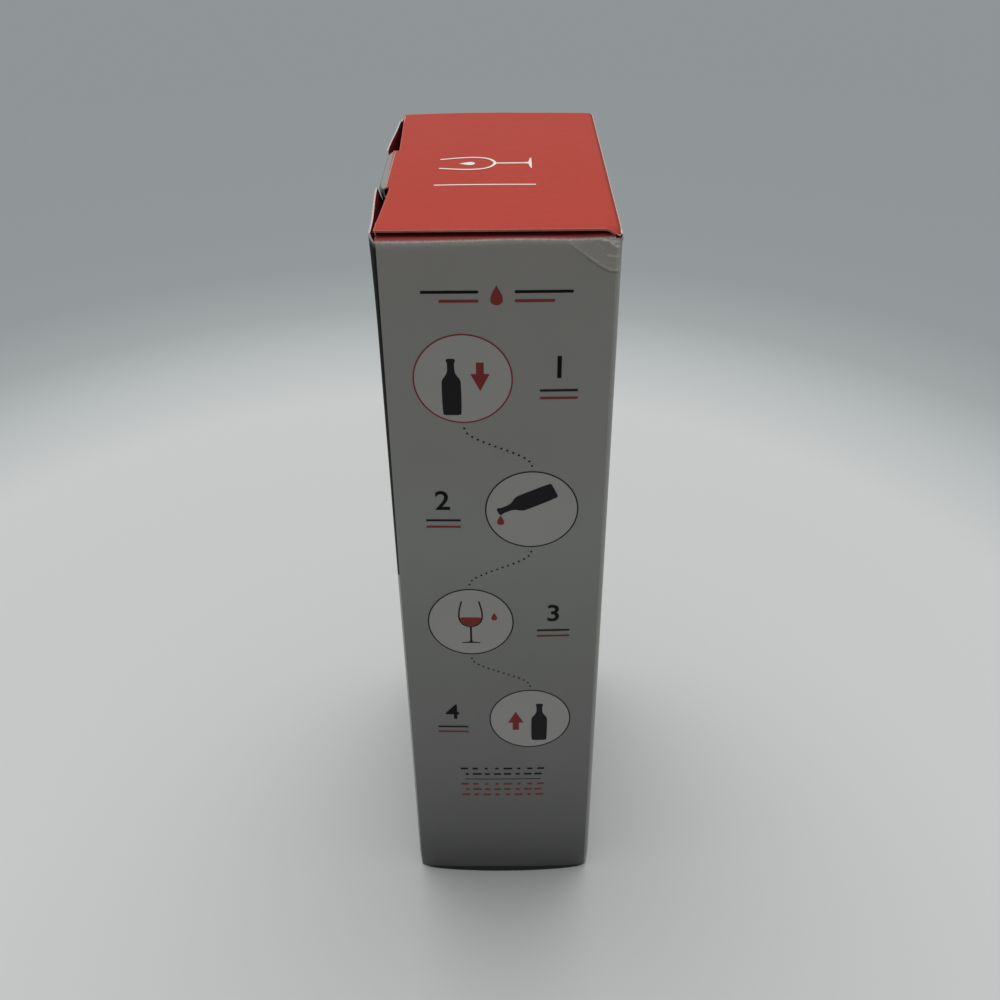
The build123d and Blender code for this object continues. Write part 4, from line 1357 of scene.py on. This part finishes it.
front = wall_panel("print_tuck_side", "front")
front.glass("mist_grey", (-26, 234), 84, 1.3)
front.sign(BOTTLE, "ash_grey", (22, 244), 112)
front.sign(BLANK_LABEL, "mist_grey", (22, 228), 32, layer=3)
front.rule(10, 34, 233, 1.2, "red", 4)
front.rule(10, 34, 221, 0.5, "charcoal", 4)
front.rule(-66, 66, BLACK_FIELD_FOOT, 0.9, "red", 1)
dashes = small_print(front, "charcoal", 0, 96, (160, 155, 150), 1.3)
for u in (-38, 0, 38):
    front.field((u, 116), SMALL_FIELD, "charcoal")
front.sign(DROP, "red", (-38, 116), 9)
front.sign(BOTTLE, "charcoal", (0, 116), 14)
front.glass("charcoal", (38, 116), 12, 0.45)
dashes += small_print(front, "charcoal", 0, 104, (98, 94.5, 91))
dashes += small_print(front, "red", 0, 60, (28, 24.5))
front.finish("carton", "black_board")
print("dashes", dashes)

# %% [markdown]
# The hinge side has three steps beside rows of small print, and the far side has one field. One
# press prints the whole blank, so they use the same inks, signs and dashes as the rest. A picture
# wrapped round the carton would be quicker, but it would blur when seen from near.

# %% Hinge side and far side
back = wall_panel("print_hinge_side", "back")
back.rule(-52, 52, 290, 1.2, "black", 1)
back.rule(-52, 0, 286, 1.2, "red", 1)
for row, z in enumerate((252, 200, 148)):
    back.field((-36, z), 14, RIM_INKS[row])
    small_print(back, "red", 20, 66, (z + 9,), 1.2)
    small_print(back, "charcoal", 20, 66, (z + 4, z, z - 4, z - 8))
back.sign(BOTTLE, "charcoal", (-36, 252), 21)
back.glass("charcoal", (-36, 200), 20, 0.55)
back.sign(DROP, "red", (-36, 148), 13)
back.rule(-52, 52, 118, 0.6, "charcoal", 1)
small_print(back, "charcoal", 0, 104, (108, 104.5, 101, 97.5, 94))
small_print(back, "red", 0, 104, (84, 80.5, 77))
back.finish("carton", "grey_board")

far = wall_panel("print_far_side", "far")
far.field((0, 262), STEP_RADIUS, "red")
far.sign(BOTTLE, "charcoal", (-4, 262), 24)
far.glass("charcoal", (6, 259), 17, 0.5)
far.rule(-24, 24, 232, 1.0, "black", 1)
far.rule(-24, 24, 228.5, 1.0, "red", 1)
small_print(far, "charcoal", 0, 46, (220, 216.5, 213, 209.5, 206))
small_print(far, "red", 0, 46, (198, 194.5, 191))
far.rule(-24, 24, 60, 0.5, "charcoal", 1)
small_print(far, "charcoal", 0, 46, (54, 50.5))
far.finish("carton", "grey_board")

# %% [markdown]
# The lid's motif is opaque white on the red. It is laid straight on the lid's own bowed shape,
# because the function that shaped the lid also gives every point of the print its height.

# %% Lid motif
top = Panel("print_lid", lambda u, v, lift: (u, v, lid_height(u, v) + lift))
top.glass("bright_white", (-4, 0), 34, 1.1, 90, wine=False)
top.sign(DROP, "bright_white", (-11, 0), 6, 90)
top.rule(-22, 14, -24, 0.9, "bright_white", 1)
top.finish("lid", "red_board")

# %% [markdown]
# Inside the carton is the tool, held in a folded insert. These pieces keep the model's own shapes,
# and get their finish here. There are three families: pulp board, moulded plastic and rubber, and
# worked metal. Each family is one function, because the finishes in it differ only in tone, gloss
# and in the size of the marks that the making left. The marks are read from the piece's own
# coordinates, so they stay at their real size on every piece.

# %% Insert board and paper
FLUTE_PITCH = 3.2
LINER_FIBRE = 1.2
LINER_RELIEF = 0.05


def fluted_board(name, tone):
    """Thin corrugated board: brown liner with faint lines where the flutes are glued on."""
    material, tree, shader, place = new_material(name, IOR=BOARD_IOR, Roughness=0.92)
    x, *_ = node(tree, "SeparateXYZ", (place,)).outputs
    turn = node(tree, "Math", (x, math.tau / (FLUTE_PITCH * MM)), operation="MULTIPLY")
    wave = node(tree, "Math", (turn,), operation="SINE")
    fibre = node(tree, "TexNoise", (place, pitch(LINER_FIBRE), 5.0))
    liner = uneven(tree, fibre, 0.3, 0.7, tone, 0.8)
    glued = node(tree, "MapRange", (wave, -1.0, 1.0, 0.93, 1.0))
    height = node(tree, "Math", (wave, 0.5, fibre), operation="MULTIPLY_ADD")
    feed(shader, {
        "Base Color": node(tree, "HueSaturation", {"Color": liner, "Value": glued}),
        "Normal": node(tree, "Bump", {"Height": height, "Distance": LINER_RELIEF * MM}),
    })
    return material


print("flute pitch", FLUTE_PITCH, "mm")

# %% [markdown]
# Moulded plastic copies the steel it was pressed against, which was eroded by sparks to a
# fine pebble grain. A hand dulls it in patches. Fine bump would do for the grain alone, but
# the patches in tone and gloss are what keeps a dark part from looking like a flat fill.

# %% Moulded plastic and rubber
PLASTIC_IOR = 1.5
PLASTIC_SHEEN = 0.4
# the real eroded grain is about 0.1 mm, and is drawn about 1 mm wide to show
HAND_MARK = 28.0
RIB_DEPTH = 0.35


def moulded(name, tone, rough, grain_mm, depth_mm, ribs_mm=0.0):
    """A moulded skin: spark-eroded grain from the tool's steel, and ribs where a hand grips."""
    surface = {"IOR": PLASTIC_IOR, "Specular_IOR_Level": PLASTIC_SHEEN}
    material, tree, shader, place = new_material(name, **surface)
    pebble = node(tree, "TexNoise", (place, pitch(grain_mm), 2.0))
    handled = node(tree, "TexNoise", (place, pitch(HAND_MARK), 2.0))
    colour = uneven(tree, handled, 0.3, 0.7, tone, 0.82)
    height = node(tree, "Math", (pebble, depth_mm), operation="MULTIPLY")
    if ribs_mm:
        _, _, z = node(tree, "SeparateXYZ", (place,)).outputs
        turn = node(tree, "Math", (z, math.tau / (ribs_mm * MM)), operation="MULTIPLY")
        rib = node(tree, "Math", (turn,), operation="SINE")
        # painted shade: the grooves between the ribs are darkened, where the bump is low
        crest = node(tree, "MapRange", (rib, -0.9, -0.2), interpolation_type="SMOOTHSTEP")
        colour = node(tree, "Mix", (crest, linear(tone, 0.4), colour), data_type="RGBA")
        height = node(tree, "Math", (crest, RIB_DEPTH, height), operation="MULTIPLY_ADD")
    feed(shader, {
        "Base Color": colour,
        "Roughness": node(tree, "MapRange", (handled, 0.0, 1.0, rough - 0.07, rough + 0.07)),
        "Normal": node(tree, "Bump", {"Height": height, "Distance": MM}),
    })
    return material


print("dulled by hands in patches of", HAND_MARK, "mm")

# %% [markdown]
# Worked metal shows how it was made: drawing leaves long marks, turning leaves rings, and
# blasting leaves none. One noise, stretched along or round the piece, gives all three. A
# real anisotropic sheen would be the other way, but its lines would be too fine to see.

# %% Worked metal
# tool marks are finer than 0.1 mm on the real pieces, and are drawn about 1 mm wide to show
TOUCH_MARK = 16.0


def worked_metal(name, tone, rough, mark_mm, run, depth_mm):
    """Bare or anodised metal. Its marks run along Z where run is above 1, round Z where below."""
    material, tree, shader, place = new_material(name, Metallic=1.0)
    drawn = node(tree, "Mapping", {"Vector": place, "Scale": (1.0, 1.0, 1.0 / run)})
    marks = node(tree, "TexNoise", (drawn, pitch(mark_mm), 4.0))
    handled = node(tree, "TexNoise", (place, pitch(TOUCH_MARK), 2.0))
    both = node(tree, "Math", (marks, handled), operation="ADD")
    feed(shader, {
        "Base Color": uneven(tree, handled, 0.25, 0.75, tone, 0.8),
        "Roughness": node(tree, "MapRange", (both, 0.6, 1.4, rough - 0.08, rough + 0.1)),
        "Normal": node(tree, "Bump", {"Height": marks, "Distance": depth_mm * MM}),
    })
    return material


print("dulled by touch in patches of", TOUCH_MARK, "mm")

# %% [markdown]
# Each slot of the model gets the finish of its real stuff. A capsule is deep-drawn steel with a
# thin zinc coat, so its marks run along it. Turned steel and brass have fine rings instead. The
# cup and the rail are bead-blasted before they are anodised, which leaves an even, satin grain.

# %% Finish of every slot
FINISH = {
    "insert_board": fluted_board("corrugated_board_brown_liner", "#a98f6c"),
    "leaflet_paper": plain_board("offset_paper_uncoated", "#e2dfd8", 0.85),
    "capsule_steel": worked_metal("steel_deep_drawn_zinc_coat", "#b4b8bb", 0.34, 1.1, 14.0, 0.03),
    "black_plastic": moulded("polyamide_glass_filled_eroded", "#1b1c1e", 0.5, 0.9, 0.05),
    "grey_plastic": moulded("abs_moulded_satin_grey", "#5c5f63", 0.42, 1.4, 0.03),
    "soft_rubber": moulded("tpe_moulded_soft_grip", "#161617", 0.75, 0.7, 0.04),
    "steel": worked_metal("stainless_turned", "#c2c3c4", 0.26, 0.8, 0.08, 0.02),
    "brass": worked_metal("brass_turned", "#c39d4e", 0.28, 0.8, 0.08, 0.02),
    "anodised_aluminium": worked_metal(
        "aluminium_anodised_blasted", "#7e8286", 0.44, 0.5, 1.0, 0.03
    ),
    "plain_board": GREY_PRINT,
    "grey_board": WALL_PRINT,
    "black_board": WALL_PRINT,
    "red_board": RED_PRINT,
}
OWN_FINISH = {
    "grip_sleeve": moulded("tpe_moulded_ribbed_grip", "#161617", 0.72, 0.7, 0.04, ribs_mm=2.4),
    "glue_flap": RED_INSIDE,
    "bottom_flap_inner": RED_INSIDE,
    "bottom_dust_flap_near": RED_INSIDE,
    "bottom_dust_flap_far": RED_INSIDE,
}
for name, piece in NODES.items():
    piece.data.materials.clear()
    piece.data.materials.append(OWN_FINISH.get(name, FINISH[SLOT_OF[name]]))
print("nodes finished", len(NODES), "slots", len(FINISH))

# %% [markdown]
# Five springs work in the tool, and a spring is one rule: a round wire that climbs as it turns. So
# Geometry Nodes make them all from one tree, with the wire, the radius, the length and the turns
# as inputs. Five models by hand would be as good, but none would follow a change of size.

# %% Spring tree
COIL_STEPS = 28
WIRE_SIDES = 10


def spring_tree(material):
    """A helix of round wire that stands on the origin and climbs along Z."""
    sizes = dict.fromkeys(("Radius", "Wire", "Length", "Turns"), "Float")
    tree, given = new_tree("coil_spring", **sizes)
    climb = {
        "Resolution": COIL_STEPS,
        "Rotations": given["Turns"],
        "Start Radius": given["Radius"],
        "End Radius": given["Radius"],
        "Height": given["Length"],
    }
    line = node(tree, "GeometryNodeCurveSpiral", climb)
    section = {"Resolution": WIRE_SIDES, "Radius": given["Wire"]}
    wire = node(tree, "GeometryNodeCurvePrimitiveCircle", section)
    sweep = {"Curve": line, "Profile Curve": wire, "Fill Caps": True}
    return close_tree(tree, node(tree, "GeometryNodeCurveToMesh", sweep), material)


print("steps in a turn", COIL_STEPS, "and round the wire", WIRE_SIDES)

# %% [markdown]
# Each coil takes its size and place from the solid that it stands for. It keeps that full
# length, so it is not squashed when its joint moves, and can run through the piece that presses it.

# %% Set the springs in
SPRINGS = {
    "valve_spring": ("dispenser", "stem_slide", 5, 0.35, 2, 0.60),
    "regulator_spring": ("dispenser", "piston_slide", 4, 0.60, -2, 0.80),
    "lever_spring": ("dispenser", "lever_pivot", 6, 0.40, 2, 0.62),
    "jaw_spring_left": ("clamp", "jaw_left_pivot", 4, 0.35, -1, 0.50),
    "jaw_spring_right": ("clamp", "jaw_right_pivot", 4, 0.35, 1, 0.50),
}


def build_spring(name, body, joint, turns, wire, way, keep):
    """Way is the axis that the spring climbs, 1 for X and 2 for Z. Its sign, below 0 where it
    hangs back, is not used.
    """
    low, high = (np.array(corner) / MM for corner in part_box(name))
    axis = 0 if abs(way) == 1 else 2
    start, anchor = (low + high) / 2, (low + high) / 2
    start[axis] = low[axis] + wire
    anchor[axis] = low[axis] if way > 0 else high[axis]
    outer = (high[1] - low[1]) / 2
    length = high[axis] - low[axis]
    piece = add_piece(f"{name}_coil", [], [], [FINISH["steel"]])
    sizes = {"Radius": outer - wire, "Wire": wire, "Length": length - 2 * wire}
    sizes = {size: float(value * MM) for size, value in sizes.items()}
    add_tree(piece, spring_tree(FINISH["steel"]), **sizes, Turns=float(turns))
    bake_modifiers(piece)
    turn = Matrix.Rotation(math.radians(90), 4, "Y") if axis == 0 else Matrix()
    piece.data.transform(Matrix.Translation(Vector(start) * MM) @ turn)
    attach(piece, body)
    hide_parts(name)
    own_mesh(piece)
    return len(piece.data.polygons)


faces = [build_spring(name, *facts) for name, facts in SPRINGS.items()]
print("springs", len(faces), "faces", sum(faces))
